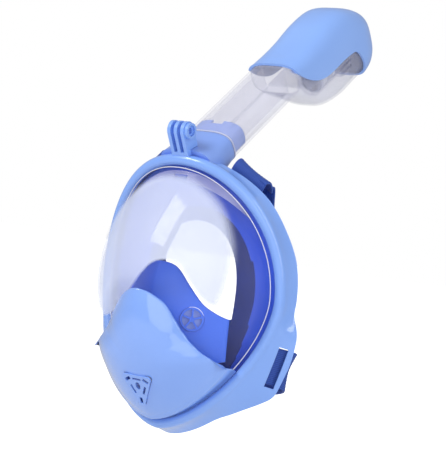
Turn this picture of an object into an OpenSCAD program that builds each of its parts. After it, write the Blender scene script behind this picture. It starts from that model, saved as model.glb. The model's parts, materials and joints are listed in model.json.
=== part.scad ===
// Full-face snorkel mask with a dry-top snorkel.
// Worn position: +Z up, the lens faces -Y, the wearer's face is on the +Y side.
// Origin: the centre of the face opening, on the plane where the skirt seals.

/* [Rim] */
// Half width of the lens opening in the frame
rim_half_w = 79.5; // [76:0.5:83]
// Height of the lens opening above the origin
rim_top = 97; // [92:1:102]
// Depth of the lens opening below the origin
rim_bottom = 104; // [100:1:108]
// How far the rim wraps back at its sides
rim_wrap = 30; // [26:1:34]
// Distance from the front of the rim to the sealing plane
rim_depth = 30; // [28:1:34]

/* [Lens] */
// Height of the lens dome in front of the rim
lens_depth = 43; // [38:1:48]
// Wall thickness of the lens
lens_wall = 2.2; // [1.8:0.2:3]
// Gap between the lens and the inside of the chin cover
cover_gap = 2.4; // [2.2:0.2:3]
// Wall thickness of the chin cover
cover_wall = 2.2; // [1.8:0.2:2.6]

/* [Skirt] */
// Half width of the eye opening
eye_half_w = 42; // [40:1:46]
// Height of the top edge of the eye opening
eye_top = 55; // [50:1:60]
// Thickness of the silicone
silicone = 2.2; // [1.6:0.2:2.6]

/* [Snorkel] */
// Backward tilt of the snorkel from upright
snorkel_tilt = 54; // [50:1:58]
// Half width of the tube
tube_half_w = 24; // [23:0.5:25]
// Half depth of the tube
tube_half_d = 14; // [13:0.5:15]
// Wall thickness of the tube
tube_wall = 1.8; // [1.4:0.2:2.2]
// Length of the tube from its seal to the dry top
tube_length = 107; // [100:1:115]

/* [Camera mount] */
// Thickness of each mounting fin
fin_wall = 3; // [2.8:0.1:3.2]
// Distance from one fin to the next
fin_pitch = 6.2; // [6:0.1:6.4]
// Radius of the screw hole through the fins
fin_hole_r = 2.6; // [2.5:0.1:2.8]

/* [Straps] */
// Width of the strap webbing
strap_w = 31; // [26:1:32]
// Thickness of the strap webbing
strap_t = 2; // [1.6:0.2:2.4]

/* [Hidden] */

$fn = 48;
frame_blue = [0.55, 0.65, 0.96];
deep_blue = [0.28, 0.40, 0.85];
strap_blue = [0.18, 0.31, 0.66];
clear_tint = [0.87, 0.89, 0.97, 0.5];
steps = 84;             // stations round the rim
power_top = 2.08;       // roundness of the rim above the origin
power_bottom = 1.66;    // and below it, where it narrows to the chin
rim_lean = -0.055;      // how the rim leans back towards the chin
lens_bend = 4;          // how boxy the dome's edge is
lens_curve_x = 0.0062;  // curvature of the lens across
lens_curve_z = 0.0036;  // curvature of the lens up and down
lens_peak_z = -5;       // height of the foremost point

// ---- Rim geometry: t is the angle round the rim, 0 at +X and 90 at the top ----

function power_at(t) = sin(t) >= 0 ? power_top : power_bottom;
function height_at(t) = sin(t) >= 0 ? rim_top : rim_bottom;
function rim_r(t, off = 0) = pow(pow(abs(cos(t)) / (rim_half_w + off), power_at(t))
    + pow(abs(sin(t)) / (height_at(t) + off), power_at(t)), -1 / power_at(t));
function wrap_y(x, z) = rim_wrap * pow(x / rim_half_w, 2) + rim_lean * z;
function rim_y(t) = wrap_y(rim_r(t) * cos(t), rim_r(t) * sin(t));
function rim_point(t, off, dy) = [rim_r(t, off) * cos(t), rim_y(t) + dy, rim_r(t, off) * sin(t)];

cover_centre = [0, -62];    // middle of the chin cover in x, z
// Distance of the cover's upper edge from its middle, by angle from level
cover_edge = [[5, 63], [9, 60], [14, 54.5], [20, 50], [32, 46], [44, 46.3], [57, 50], [69, 55.8],
    [82, 59.5], [90, 60.5]];
// How far the lens falls back along that edge, which leaves a nose ridge in the middle
nose_fall = [[5, 0], [14, 3], [24, 7], [36, 10], [66, 10], [82, 5], [90, 3]];
nose_fade = 11;             // how far outside the edge the lens takes to recover
function nose_y(x, z) =
    let (dx = x - cover_centre[0], dz = z - cover_centre[1], r = norm([dx, dz]),
        a = atan2(dz, abs(dx)), edge = lookup(a, cover_edge))
    lookup(a, nose_fall) * (r < edge ? pow(r / edge, 3) : exp(-pow((r - edge) / nose_fade, 2)));

// Front of the lens at x, z, from its domed panel and its steep edge
function panel_y(x, z) = -lens_depth + lens_curve_z * pow(z - lens_peak_z, 2)
    + lens_curve_x * x * x + nose_y(x, z);
function lens_y(x, z) =
    let (t = atan2(z, x), rho = min(1, norm([x, z]) / rim_r(t)), edge = rim_y(t))
    edge - pow(1 - pow(rho, lens_bend), 1 / lens_bend) * (edge - panel_y(x, z));

// ---- Generic solids ----

// Skin through rows of points, each a closed loop; the ends are capped unless it closes on itself
module loft(rows, closed = false) {
    n = len(rows);
    m = len(rows[0]);
    last = closed ? n : n - 1;
    sides = [for (i = [0:last - 1], j = [0:m - 1])
        let (a = i * m, b = ((i + 1) % n) * m, k = (j + 1) % m)
        each [[a + j, b + j, a + k], [b + j, b + k, a + k]]];
    caps = closed ? [] : [[for (j = [0:m - 1]) j], [for (j = [m - 1:-1:0]) (n - 1) * m + j]];
    polyhedron(points = [for (row = rows) each row], faces = concat(sides, caps));
}

// Sweeps a section of [off, dy] points round the whole rim; the section is a function of t
module rim_sweep(section) {
    loft([for (i = [0:steps - 1]) let (t = 360 * i / steps)
        [for (p = section(t)) rim_point(t, p[0], p[1])]], closed = true);
}

// Flat ribbon along a route; side is the direction of its width at each point
module ribbon(route, side, w, t) {
    n = len(route);
    rows = [for (i = [0:n - 1])
        let (ahead = route[min(i + 1, n - 1)] - route[max(i - 1, 0)],
            s = side[i] / norm(side[i]), up = cross(ahead / norm(ahead), s))
        [for (c = [[-1, -1], [1, -1], [1, 1], [-1, 1]])
            route[i] + s * c[0] * w / 2 + up / norm(up) * c[1] * t / 2]];
    loft(rows);
}

// Puts everything drawn relative to the front of the rim into the object's own frame
module placed() {
    translate([0, -rim_depth, 0]) children();
}

// ---- Frame and its trim ----

bead_w = 9;     // width of the rounded front bead
wall = 2.6;     // thickness of the frame's side wall
// How far out and how far back the frame's rear edge lies, by angle from straight down
edge_out = [[0, 14], [22, 14.2], [34, 21], [47, 31], [54, 28], [62, 26], [68, 23.5], [75, 20.8],
    [84, 11.2], [110, 11.9], [125, 11.2], [140, 12], [160, 9.5], [180, 9]];
edge_back = [[0, 20], [22, 20], [34, 22], [47, 24], [62, 20], [75, 17], [84, 16], [110, 18],
    [180, 15]];
function from_bottom(t) = let (a = (t + 450) % 360) min(a, 360 - a);
function edge_at(t) = [lookup(from_bottom(t), edge_out), lookup(from_bottom(t), edge_back)];
frame_section = function (t) let (e = edge_at(t))
    [[0, 0], [1.5, -2.2], [4.5, -3.2], [7.5, -2], [bead_w, 1], e, e - [wall, 0],
    [bead_w - wall, 4], [2, 3], [0, 2.5]];
block_section = function (t) let (e = edge_at(t))
    [[-6, 0.5], [1.5, -2.4], [4.5, -3.4], [7.5, -2.2], [bead_w + 0.2, 0.8],
    e + [0.2, 0], e + [0.2, 30], [-6, e[1] + 30]];

slot_place = [84.3, 38.5, -52.6];   // centre of the strap slot in the right wing
slot_w = 8.2;                       // width of the slot
slot_l = 34;                        // length of the slot
slot_lean = 16.6;                   // lean of the slot
slot_face = 50.5;                   // how far the wing faces sideways

// Puts children in the slot's frame: X across the slot, Z along it and -Y out of the wing
module at_slot(side) {
    mirror([side < 0 ? 1 : 0, 0, 0]) translate(slot_place)
        rotate([0, slot_lean, 0]) rotate([0, 0, slot_face]) children();
}

screw_angles = [22, 46, 134, 158, 205, 245, 295, 335];

module frame() {
    color(frame_blue) placed() difference() {
        rim_sweep(frame_section);
        for (s = [-1, 1]) at_slot(s) cube([slot_w, 40, slot_l], center = true);
    }
}

gasket_section = function (t) [[0.3, 3.6], [5, 4.6], [5, 5.2], [0.3, 5.2]];
module lens_gasket() {
    color([0.24, 0.36, 0.62]) placed() rim_sweep(gasket_section);
}

ring_back = 14.2;   // distance of the retaining ring's rear face behind the rim's front
ring_section = function (t) [[0.2, 11], [4.4, 11], [4.4, ring_back], [0.2, ring_back]];

// Places children at each screw, with Z to the rear
module at_screws(dy) {
    for (t = screw_angles) placed() translate(rim_point(t, 2.3, dy)) rotate([-90, 0, 0])
        children();
}

module retaining_ring() {
    color(frame_blue) difference() {
        placed() rim_sweep(ring_section);
        at_screws(ring_back - 1) {
            cylinder(r = 1.95, h = 6);
            translate([0, 0, -6]) cylinder(r = 1.1, h = 8);
        }
    }
}

module frame_screws() {
    color("silver") at_screws(ring_back - 0.9) {
        difference() {
            cylinder(r = 1.75, h = 1.6);
            translate([0, 0, 1.5]) cube([2.6, 0.6, 1], center = true);
        }
        translate([0, 0, -0.8]) cylinder(r = 0.95, h = 0.9);
    }
}

// ---- Lens and chin cover ----

flange = [[-0.4, 5.3], [5, 5.3], [5, 7.4], [-2.6, 7.4]];  // lens edge clamped under the bead
lens_rings = [0.03, 0.12, 0.2, 0.28, 0.35, 0.42, 0.49, 0.56, 0.63, 0.7, 0.78, 0.86, 0.93, 0.975,
    0.996];
function lens_ring(rho, inset, back) = [for (j = [0:steps - 1])
    let (t = -360 * j / steps, r = rim_r(t, -0.4) * rho, x = r * cos(t), z = r * sin(t),
        k = (r - inset * pow(rho, 3)) / r)
    [x * k, lens_y(x, z) + back, z * k]];
function flange_ring(p) = [for (j = [0:steps - 1]) rim_point(-360 * j / steps, p[0], p[1])];

chin_valve = [0, -21.3, -76.3]; // centre of the chin valve on the lens
chin_pitch = 32;                // how far its axis points down
valve_r = 11;                   // radius of the chin valve's seat

module at_chin() {
    placed() translate(chin_valve) rotate([90 + chin_pitch, 0, 0]) children();
}

module lens() {
    color(clear_tint) difference() {
        placed() loft(concat([for (rho = lens_rings) lens_ring(rho, 0, 0)],
            [for (p = flange) flange_ring(p)],
            [for (i = [len(lens_rings) - 1:-1:0]) lens_ring(lens_rings[i], lens_wall, lens_wall)]));
        at_chin() cylinder(r = valve_r + 0.2, h = 30, center = true);
    }
}

// Distance from the cover's middle to the rim, found by halving
function rim_reach(phi, lo = 5, hi = 130, n = 16) =
    let (mid = (lo + hi) / 2, p = cover_centre + mid * [cos(phi), sin(phi)],
        t = atan2(p[1], p[0]))
    n == 0 ? mid : norm(p) > rim_r(t, -1.4) ? rim_reach(phi, lo, mid, n - 1)
        : rim_reach(phi, mid, hi, n - 1);
function cover_reach(phi) =
    let (a = asin(sin(phi)), reach = rim_reach(phi))
    a < 5 ? reach : min(reach, lookup(a, cover_edge));
cover_rings = [0.03, 0.25, 0.45, 0.62, 0.76, 0.88, 0.95, 1];
function cover_ring(s, lift) = [for (j = [0:71])
    let (phi = -5 * j, r = cover_reach(phi) * s,
        x = cover_centre[0] + r * cos(phi), z = cover_centre[1] + r * sin(phi))
    [x, lens_y(x, z) - lift, z]];

// Where the cover meets the rim its wall turns back and stops just before the bead: how far out,
// and how far behind the lens's front (from_lens) or the rim's front
cover_foot = [[1.1, -2.8, true], [1.1, -2.3, false], [0.1, -2.3, false], [0.1, -2, true]];
function cover_foot_ring(i) = [for (j = [0:71])
    let (phi = -5 * j, r = cover_reach(phi), f = cover_foot[i],
        share = max(0, min(1, (12 - asin(sin(phi))) / 7)),
        across = min(1, 4 * share), down = max(0, 2 * share - 1),
        x = cover_centre[0] + r * cos(phi), z = cover_centre[1] + r * sin(phi),
        edge = [x, lens_y(x, z) - cover_gap - cover_wall * (4 - i) / 5, z],
        foot = rim_point(atan2(z, x), f[0], f[1]))
    [edge[0] + across * (foot[0] - edge[0]),
    edge[1] + down * ((f[2] ? lens_y(x, z) + f[1] : foot[1]) - edge[1]),
    edge[2] + across * (foot[2] - edge[2])]];

vent_w = 27;    // width of the triangular vent
vent_h = 29;    // height of the vent

module vent_outline(inset) {
    hull() {
        for (s = [-1, 1]) translate([s * (vent_w / 2 - 3), vent_h * 0.38 - 3])
            circle(r = 3 - inset);
        translate([0, -vent_h * 0.62 + 3]) circle(r = 3 - inset);
    }
}

// The vent's slots: three at the corners, three along the sides and one in the middle
module vent_slots() {
    translate([0, 1]) scale([1, 1.5]) circle(r = 2.2, $fn = 24);
    for (p = [[-8.4, 6.6, -58], [8.4, 6.6, 58], [0, -12.6, 0]])
        translate([p[0], p[1]]) rotate(p[2]) square([2.6, 5.4], center = true);
    for (p = [[-5.2, -2.6, 24], [5.2, -2.6, -24], [0, 7.2, 90]])
        translate([p[0], p[1]]) rotate(p[2]) square([1.8, 8], center = true);
}

module chin_cover() {
    color([0.56, 0.69, 0.97]) difference() {
        placed() loft(concat([for (s = cover_rings) cover_ring(s, cover_gap + cover_wall)],
            [for (i = [0:3]) cover_foot_ring(i)],
            [for (i = [len(cover_rings) - 1:-1:0]) cover_ring(cover_rings[i], cover_gap)]));
        at_chin() linear_extrude(30, center = true) vent_outline(0);
    }
}

module vent_grille() {
    color([0.56, 0.69, 0.97]) at_chin() translate([0, 0, cover_gap + 1.7])
        linear_extrude(1.4) difference() {
            vent_outline(0.2);
            vent_slots();
        }
}

// Seat ring with spokes that carries a round flap
module valve_seat(r, t, spokes) {
    difference() {
        cylinder(r = r, h = t, center = true);
        difference() {
            cylinder(r = r - 1.6, h = t + 1, center = true);
            cylinder(r = 2, h = t + 2, center = true);
            for (i = [0:spokes - 1]) rotate(90 + 360 * i / spokes)
                translate([r / 2, 0, 0]) cube([r, 1.4, t + 2], center = true);
        }
    }
}

module chin_valve_seat() {
    color("white") at_chin() translate([0, 0, -1.3]) valve_seat(valve_r, 2, 6);
}

module chin_valve_flap() {
    color(deep_blue) at_chin() cylinder(r = valve_r - 1, h = 0.6);
}

// ---- Skirt and nose pocket ----

eye_bottom = 84;    // depth of the skirt's opening below the origin
eye_back = 32;      // distance of the opening's edge behind the rim's front
roll_back = 10;     // how far the skirt bulges back between them
function eye_r(t) = let (h = sin(t) >= 0 ? eye_top : eye_bottom)
    pow(pow(abs(cos(t)) / eye_half_w, 2.2) + pow(abs(sin(t)) / h, 2.2), -1 / 2.2);
function skirt_point(t, s, back) =
    let (a = rim_r(t, -3.2), b = eye_r(t), r = a + (b - a) * s,
        y = (rim_y(t) + 8) * (1 - s) + eye_back * s + roll_back * sin(180 * s) + back)
    [r * cos(t), y, r * sin(t)];
skirt_stations = [0, 0.12, 0.26, 0.42, 0.6, 0.8, 1];

module skirt() {
    color(deep_blue) placed() loft([for (i = [0:steps - 1]) let (t = 360 * i / steps)
        concat([for (k = [len(skirt_stations) - 1:-1:0])
                skirt_point(t, skirt_stations[k], 0)],
            [rim_point(t, 5, 7.7), rim_point(t, 5, 10.6)],
            [for (s = skirt_stations) skirt_point(t, s, silicone)])], closed = true);
}

pocket_half_w = 52;     // half width of the nose pocket
function pocket_y(x, z) = -24 + 34 * pow(abs(x) / pocket_half_w, 1.35)
    + 0.0045 * pow(z + 18, 2) * (z > -18 ? 1 : 0.3);
// Height of the pocket's upper edge, by distance from the middle
pocket_edge = [[0, 21], [9, 20], [15, 16.5], [25, 3.5], [35, -9.5], [44, -15.5], [52, -19]];
function pocket_top(x) = lookup(abs(x), pocket_edge);
function pocket_bottom(x) = -62 + 10 * pow(abs(x) / pocket_half_w, 2);
pocket_columns = 30;
pocket_rows = 10;
function pocket_side(x, back, down) = [for (i = [0:pocket_rows])
    let (f = down ? i / pocket_rows : 1 - i / pocket_rows,
        z = pocket_top(x) + (pocket_bottom(x) - pocket_top(x)) * f)
    [x, pocket_y(x, z) + back, z]];

seat_place = [30, -7.5, -21.5];     // centre of the right valve seat
seat_yaw = 38;                      // how far it faces sideways
seat_r = 9.4;

module at_seat(side) {
    placed() mirror([side < 0 ? 1 : 0, 0, 0]) translate(seat_place)
        rotate([90, 0, seat_yaw]) children();
}

module nose_pocket() {
    color(deep_blue) difference() {
        placed() loft([for (i = [0:pocket_columns])
            let (x = pocket_half_w * (2 * i / pocket_columns - 1))
            concat(pocket_side(x, 0, true), pocket_side(x, silicone, false))]);
        for (s = [-1, 1]) at_seat(s) cylinder(r = seat_r + 0.3, h = 16, center = true);
    }
}

module inhale_seat(side) {
    color([0.30, 0.42, 0.84]) at_seat(side) valve_seat(seat_r, 2, 5);
}

module inhale_flap(side) {
    color([0.75, 0.80, 0.95]) at_seat(side) translate([0, 0, -1.9])
        cylinder(r = seat_r - 1, h = 0.6);
}

// Clear stiffening band behind the top of the lens, with a square notch in the middle
module brow_band() {
    color([0.70, 0.72, 0.92, 0.6]) placed() difference() {
        loft([for (i = [0:28]) let (t = 132 - 3 * i, low = -4.8 - 7.4 * (1 - pow((t - 90) / 42, 2)))
            [rim_point(t, low, 1), rim_point(t, low, 2.2), rim_point(t, -4, 4.2),
            rim_point(t, -4, 3)]]);
        translate([0, -4, rim_top - 11]) cube([13, 20, 8], center = true);
    }
}

// ---- Camera mount ----

mount_eye = [-11, 124.3];   // y and z of the screw hole
mount_lean = 32;            // how far the fins lean forward
fin_r = 7.5;                // radius of a fin's round head
stem = 20;                  // length of the fins below the hole

module fin_outline() {
    difference() {
        union() {
            circle(r = fin_r);
            translate([-fin_r, -stem]) square([2 * fin_r, stem]);
        }
        circle(r = fin_hole_r);
    }
}

module at_mount() {
    placed() translate([0, mount_eye[0], mount_eye[1]]) rotate([mount_lean, 0, 0]) children();
}

module fin(x, t) {
    translate([x - t / 2, 0, 0]) rotate([90, 0, 90]) linear_extrude(t) fin_outline();
}

boss_x = fin_pitch + fin_wall / 2;

module camera_mount() {
    color(frame_blue) difference() {
        at_mount() {
            for (i = [-1:1]) fin(i * fin_pitch, fin_wall);
            translate([boss_x - 0.2, 0, 0]) rotate([0, 90, 0]) difference() {
                cylinder(r = 6.4, h = 3.2);
                translate([0, 0, -1]) cylinder(r = fin_hole_r, h = 6);
                translate([0, 0, 1.4]) cylinder(r = 4.3, h = 4);
            }
            translate([0, 0, -stem + 2]) cube([2 * boss_x, 2 * fin_r, 4], center = true);
        }
        placed() rim_sweep(block_section);
        on_snorkel() socket_body(0.3);
    }
}

// ---- Snorkel, drawn along its own axis: local Z runs up the tube, local Y to the rear ----

neck = [29.3, 113.8];   // y and z where the snorkel's axis starts
seat_z = 4.5;           // height of the tube's lower edge along the axis
spigot_z = 24;          // height of the spigot's end

module on_snorkel() {
    placed() translate([0, neck[0], neck[1]]) rotate([-snorkel_tilt, 0, 0]) children();
}

// Rounded oblong loop with half sizes a and b, centred at y = c
function oblong(a, b, c = 0, n = 48, p = 3) = [for (i = [0:n - 1])
    let (t = 360 * i / n, u = cos(t), v = sin(t))
    [a * sign(u) * pow(abs(u), 2 / p), c + b * sign(v) * pow(abs(v), 2 / p)]];
function lifted(loop, z) = [for (p = loop) [p[0], p[1], z]];
module oblong_bar(a, b, z0, z1) {
    translate([0, 0, z0]) linear_extrude(z1 - z0) polygon(oblong(a, b));
}

spigot_a = tube_half_w - tube_wall - 0.25;
spigot_b = tube_half_d - tube_wall - 0.25;

// Socket stations: half width and half depth beyond the tube's, centre and height
socket_rows = [[0.6, 3, 0, -30], [1.8, 1.8, 0.8, -21], [1.6, 0.8, 0.6, -12], [0.3, 0.3, 0, 0],
    [0.3, 0.3, 0, 2.4]];

module socket_body(grow) {
    loft([for (r = socket_rows)
        lifted(oblong(tube_half_w + r[0] + grow, tube_half_d + r[1] + grow, r[2]), r[3])]);
}

module snorkel_socket() {
    color([0.50, 0.62, 0.93]) difference() {
        on_snorkel() difference() {
            union() {
                socket_body(0);
                oblong_bar(spigot_a, spigot_b, 0, spigot_z);
            }
            oblong_bar(spigot_a - 1.8, spigot_b - 1.8, -40, spigot_z + 1);
            translate([0, -tube_half_d, spigot_z]) cube([11, 12, 10], center = true);
        }
        placed() rim_sweep(block_section);
        placed() translate([0, 20, 75]) cube([120, 120, 55], center = true);
    }
}

module socket_seal() {
    color("white") on_snorkel() difference() {
        oblong_bar(tube_half_w + 0.3, tube_half_d + 0.3, 2.6, 4.2);
        oblong_bar(spigot_a + 0.2, spigot_b + 0.2, 2, 5);
    }
}

// One wide middle channel for breathing in and two side channels for breathing out
wall_x = 9.5;
module snorkel_tube() {
    color(clear_tint) on_snorkel() difference() {
        oblong_bar(tube_half_w, tube_half_d, seat_z, seat_z + tube_length);
        oblong_bar(tube_half_w - tube_wall, tube_half_d - tube_wall, 4, spigot_z + 1.5);
        intersection() {
            oblong_bar(tube_half_w - tube_wall, tube_half_d - tube_wall, 4, 120);
            union() {
                translate([0, 0, 60]) cube([2 * wall_x, 40, 130], center = true);
                for (s = [-1, 1]) translate([s * (wall_x + 1.4 + 15), 0, 60])
                    cube([30, 40, 130], center = true);
            }
        }
    }
}

// Dry top stations: height, half width, half depth and centre
top_z = seat_z + tube_length + 0.2;
top_rows = [[0, tube_half_w, tube_half_d, 0], [4, 24, 16.4, 2.4], [10, 24.1, 19.1, 4.8],
    [18, 24.3, 22.4, 7.9], [38, 24.7, 31.2, 15], [64, 25, 36.2, 16.9], [90, 24.9, 35.8, 17.8],
    [110, 23.9, 31, 21.9], [122, 20.8, 25.4, 24.2], [130.5, 15.6, 18.8, 25.4],
    [136, 8.5, 11, 25]];
top_length = top_rows[len(top_rows) - 1][0];
function top_row(r, grow) = lifted(oblong(r[1] + grow, r[2] + grow, r[3]),
    top_z + r[0] * (1 + grow / top_length));
cap_wall = 2;

// Outer shape of the dry top's housing, grown evenly by a distance
module housing_body(grow) {
    loft([for (r = top_rows) top_row(r, grow)]);
}

inlet = [23, 184];      // local y and z of the air inlet in each side
partition_y = 15.5;     // wall between the breathing channel and the float's chamber

module dry_top_housing() {
    color(clear_tint) on_snorkel() difference() {
        housing_body(0);
        housing_body(-tube_wall);
        for (i = [-1:1]) translate([0, inlet[0] + 5 * i, inlet[1]])
            cube([80, 2.4, 22], center = true);
    }
}

// The cap's lower edge in local y and z, which rises round the air inlets to the rear
cap_edge = [[-40, 92], [-19, 104], [-6, 113.5], [4, 124], [11, 135], [15, 147], [16.5, 160],
    [16.5, 182], [18.3, 199], [21.5, 205], [27, 209.5], [36, 214], [60, 223]];

module dry_top_cap() {
    color(frame_blue) on_snorkel() difference() {
        housing_body(cap_wall + 0.2);
        housing_body(0.2);
        rotate([90, 0, 90]) linear_extrude(120, center = true)
            polygon(concat(cap_edge, [[60, 80], [-40, 80]]));
    }
}

plate_z = 198;      // height of the valve plate along the axis
port_r = 7;         // radius of the air inlet port
port_y = 31;        // its place over the float's chamber
exhaust_x = 14;     // place of the two exhaust ports
exhaust_y = -2;
exhaust_r = 3.2;
flap_lap = 1;       // how far each exhaust flap overlaps its port
hinge_y = 5.2;      // distance of a flap's hinge from its port's centre
hinge_w = 5;        // length of the hinge

// The wall and the plate that part the breathing channel from the float's chamber
module valve_plate() {
    color([0.85, 0.87, 0.97, 0.7]) on_snorkel() {
        translate([-21.5, partition_y, top_z + 18]) cube([43, 1.6, plate_z - top_z - 18]);
        translate([0, 0, plate_z]) difference() {
            linear_extrude(2) polygon(oblong(20.8, 28.5, 15.8));
            translate([0, port_y, -1]) cylinder(r = port_r, h = 4);
            for (s = [-1, 1]) translate([s * exhaust_x, exhaust_y, -1])
                cylinder(r = exhaust_r, h = 4);
        }
    }
}

float_z = 164;      // lower face of the float at rest
float_h = 24;
guide_r = 10.6;     // inner radius of the float's guide
guide_wall = 1.2;

module float_guide() {
    color([0.85, 0.87, 0.97, 0.7]) on_snorkel() translate([0, port_y, float_z - 4])
        difference() {
            cylinder(r = guide_r + guide_wall, h = plate_z - float_z + 3.8);
            translate([0, 0, 3.8]) cylinder(r = guide_r, h = 60);
            translate([0, 0, -1]) cylinder(r = guide_r - 3, h = 8);
            for (z = [9, 27]) translate([0, 0, z]) cube([60, 8, 9], center = true);
        }
}

module float_cup() {
    color("white") on_snorkel() translate([0, port_y, float_z]) difference() {
        cylinder(r = guide_r - 0.5, h = float_h);
        translate([0, 0, -1.6]) cylinder(r = guide_r - 2, h = float_h);
    }
}

module float_seal() {
    color(deep_blue) on_snorkel() translate([0, port_y, float_z + float_h])
        cylinder(r = port_r + 1.2, h = 2);
}

module exhaust_flap(side) {
    color(deep_blue) on_snorkel() translate([side * exhaust_x, exhaust_y, plate_z + 2.4]) {
            cylinder(r = exhaust_r + flap_lap, h = 0.6);
            translate([-hinge_w / 2, 2, 0]) cube([hinge_w, hinge_y - 2, 0.6]);
            translate([0, hinge_y, 0.3]) rotate([0, 90, 0])
                cylinder(r = 0.6, h = hinge_w, center = true);
        }
}

// ---- Harness ----

edge_mid = 63.7;    // angle where the upper strap passes round the frame's rear edge
edge_dir = rim_point(55.5, 11, 16) - rim_point(72, 11, 16);
// The upper strap's way round that edge as distances out and back
edge_turn = [[4, 14.6], [4.6, 18], [8, 19.6], [12.5, 19.9], [15.2, 21.2], [16, 24], [14.6, 28],
    [10, 34], [5, 39]];

// The upper strap comes out behind the retaining ring, turns back and hangs behind the frame
module strap_upper(side) {
    color(strap_blue) placed() mirror([side < 0 ? 1 : 0, 0, 0]) ribbon(
        concat([for (p = edge_turn) rim_point(edge_mid, p[0], p[1])],
            [[44, 50, 62], [57, 57.5, 24], [54, 66, -8], [42, 73, -29], [26, 73, -36],
                [12, 73, -40]]),
        concat([for (p = edge_turn) edge_dir],
            [[1, 0, 0.1], [0.9, 0.4, 0], [1, 0.1, -0.3], [0.75, 0, -0.75], [0.5, 0, -0.85],
                [0.3, 0, -0.95]]),
        strap_w, strap_t);
}

slot_axis = [sin(slot_lean), 0, cos(slot_lean)];        // along the slot
slot_side = [cos(slot_face) * cos(slot_lean), sin(slot_face), -cos(slot_face) * sin(slot_lean)];
slot_out = [sin(slot_face) * cos(slot_lean), -cos(slot_face), -sin(slot_face) * sin(slot_lean)];
function behind_slot(across, out) = slot_place + across * slot_side + out * slot_out;

// The lower strap lies behind the slot in the frame's wing
module strap_lower(side) {
    color(strap_blue) placed() mirror([side < 0 ? 1 : 0, 0, 0]) ribbon(
        [behind_slot(-7.5, -4.2), behind_slot(0, -4.1), behind_slot(9, -4.3), [84.5, 55, -56],
            [72, 64, -60], [50, 70.5, -65], [30, 74, -70]],
        [slot_axis, slot_axis, slot_axis, [0.15, 0, 1], [0, 0, 1], [0, 0, 1], [0, 0, 1]],
        strap_w, strap_t);
}

module strap_pad() {
    color(strap_blue) placed() translate([0, 77, -66]) rotate([90, 0, 0])
        linear_extrude(3, center = true) hull() {
            for (s = [-1, 1]) translate([s * 26, 8]) circle(r = 12, $fn = 32);
            for (s = [-1, 1]) translate([s * 16, -12]) circle(r = 10, $fn = 32);
        }
}

frame();
lens();
lens_gasket();
chin_cover();
vent_grille();
retaining_ring();
frame_screws();
skirt();
nose_pocket();
brow_band();
inhale_seat(-1);  // inhale_seat_left
inhale_seat(1);  // inhale_seat_right
chin_valve_seat();
snorkel_socket();
socket_seal();
camera_mount();
strap_upper(-1);  // strap_upper_left
strap_upper(1);  // strap_upper_right
strap_lower(-1);  // strap_lower_left
strap_lower(1);  // strap_lower_right
strap_pad();
snorkel_tube();
dry_top_housing();
dry_top_cap();
valve_plate();
float_guide();
float_cup();
float_seal();
exhaust_flap(-1);  // exhaust_flap_left
exhaust_flap(1);  // exhaust_flap_right
inhale_flap(-1);  // inhale_flap_left
inhale_flap(1);  // inhale_flap_right
chin_valve_flap();
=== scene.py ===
"""Full-face snorkel mask: the finished looks of each piece, built on the mask's own rigid frame."""

from __future__ import annotations

import json
import logging
import math
from dataclasses import dataclass, field
from enum import Enum
from typing import Callable, Sequence

import bmesh
import bpy
from mathutils import Matrix, Vector

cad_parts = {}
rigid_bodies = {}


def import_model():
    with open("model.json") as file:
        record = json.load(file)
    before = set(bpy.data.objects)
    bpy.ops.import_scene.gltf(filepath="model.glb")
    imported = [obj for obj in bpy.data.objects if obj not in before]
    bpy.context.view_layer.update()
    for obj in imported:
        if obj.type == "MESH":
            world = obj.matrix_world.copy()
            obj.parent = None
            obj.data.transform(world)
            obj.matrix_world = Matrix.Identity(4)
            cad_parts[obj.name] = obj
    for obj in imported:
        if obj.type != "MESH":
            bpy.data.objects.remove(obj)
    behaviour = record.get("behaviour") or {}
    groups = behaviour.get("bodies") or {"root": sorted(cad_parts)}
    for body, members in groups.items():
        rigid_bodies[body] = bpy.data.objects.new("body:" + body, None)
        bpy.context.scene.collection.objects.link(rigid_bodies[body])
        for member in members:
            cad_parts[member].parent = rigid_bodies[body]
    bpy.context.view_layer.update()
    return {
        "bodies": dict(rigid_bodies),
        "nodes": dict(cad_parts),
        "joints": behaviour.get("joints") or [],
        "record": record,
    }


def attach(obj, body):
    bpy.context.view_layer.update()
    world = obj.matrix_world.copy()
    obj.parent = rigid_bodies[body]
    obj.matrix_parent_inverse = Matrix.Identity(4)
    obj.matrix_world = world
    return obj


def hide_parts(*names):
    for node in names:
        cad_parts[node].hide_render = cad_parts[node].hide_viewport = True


LOG = logging.getLogger("snorkel_mask")
MM = 0.001
BEVEL_STEPS = 3
BEVEL_ANGLE = 40.0
TOOL_SMOOTH = 30.0
SHARP = 35.0
CRISP = 40.0
SOFT = 50.0
CUT_REACH = 15.0

Point = tuple[float, float, float]
Pair = tuple[float, float]
Colour = tuple[float, float, float]


class Body(str, Enum):
    """The rigid bodies that pieces ride on."""

    MASK = "mask"
    SNORKEL = "snorkel"


# ---------------------------------------------------------------- shape formulas


def signed_power(value: float, power: float) -> float:
    """Raises the size of a value to a power and keeps its sign."""
    return math.copysign(abs(value) ** power, value)


def lookup(value: float, table: Sequence[Pair]) -> float:
    """Reads a value from a table of pairs by straight lines between them.

    Args:
        value: Where to read the table.
        table: Pairs of (key, result) with rising keys.

    Returns:
        The result at that value, held level past both ends.
    """
    if value <= table[0][0]:
        return table[0][1]
    for (a, ra), (b, rb) in zip(table, table[1:]):
        if value <= b:
            return ra + (rb - ra) * (value - a) / (b - a)
    return table[-1][1]


def softened(value: float, table: Sequence[Pair], width: float) -> float:
    """Reads a table as lookup does, with its corners rounded over a width."""
    spread = [-1.0, -0.6, -0.2, 0.2, 0.6, 1.0]
    return sum(lookup(value + s * width, table) for s in spread) / len(spread)


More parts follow.
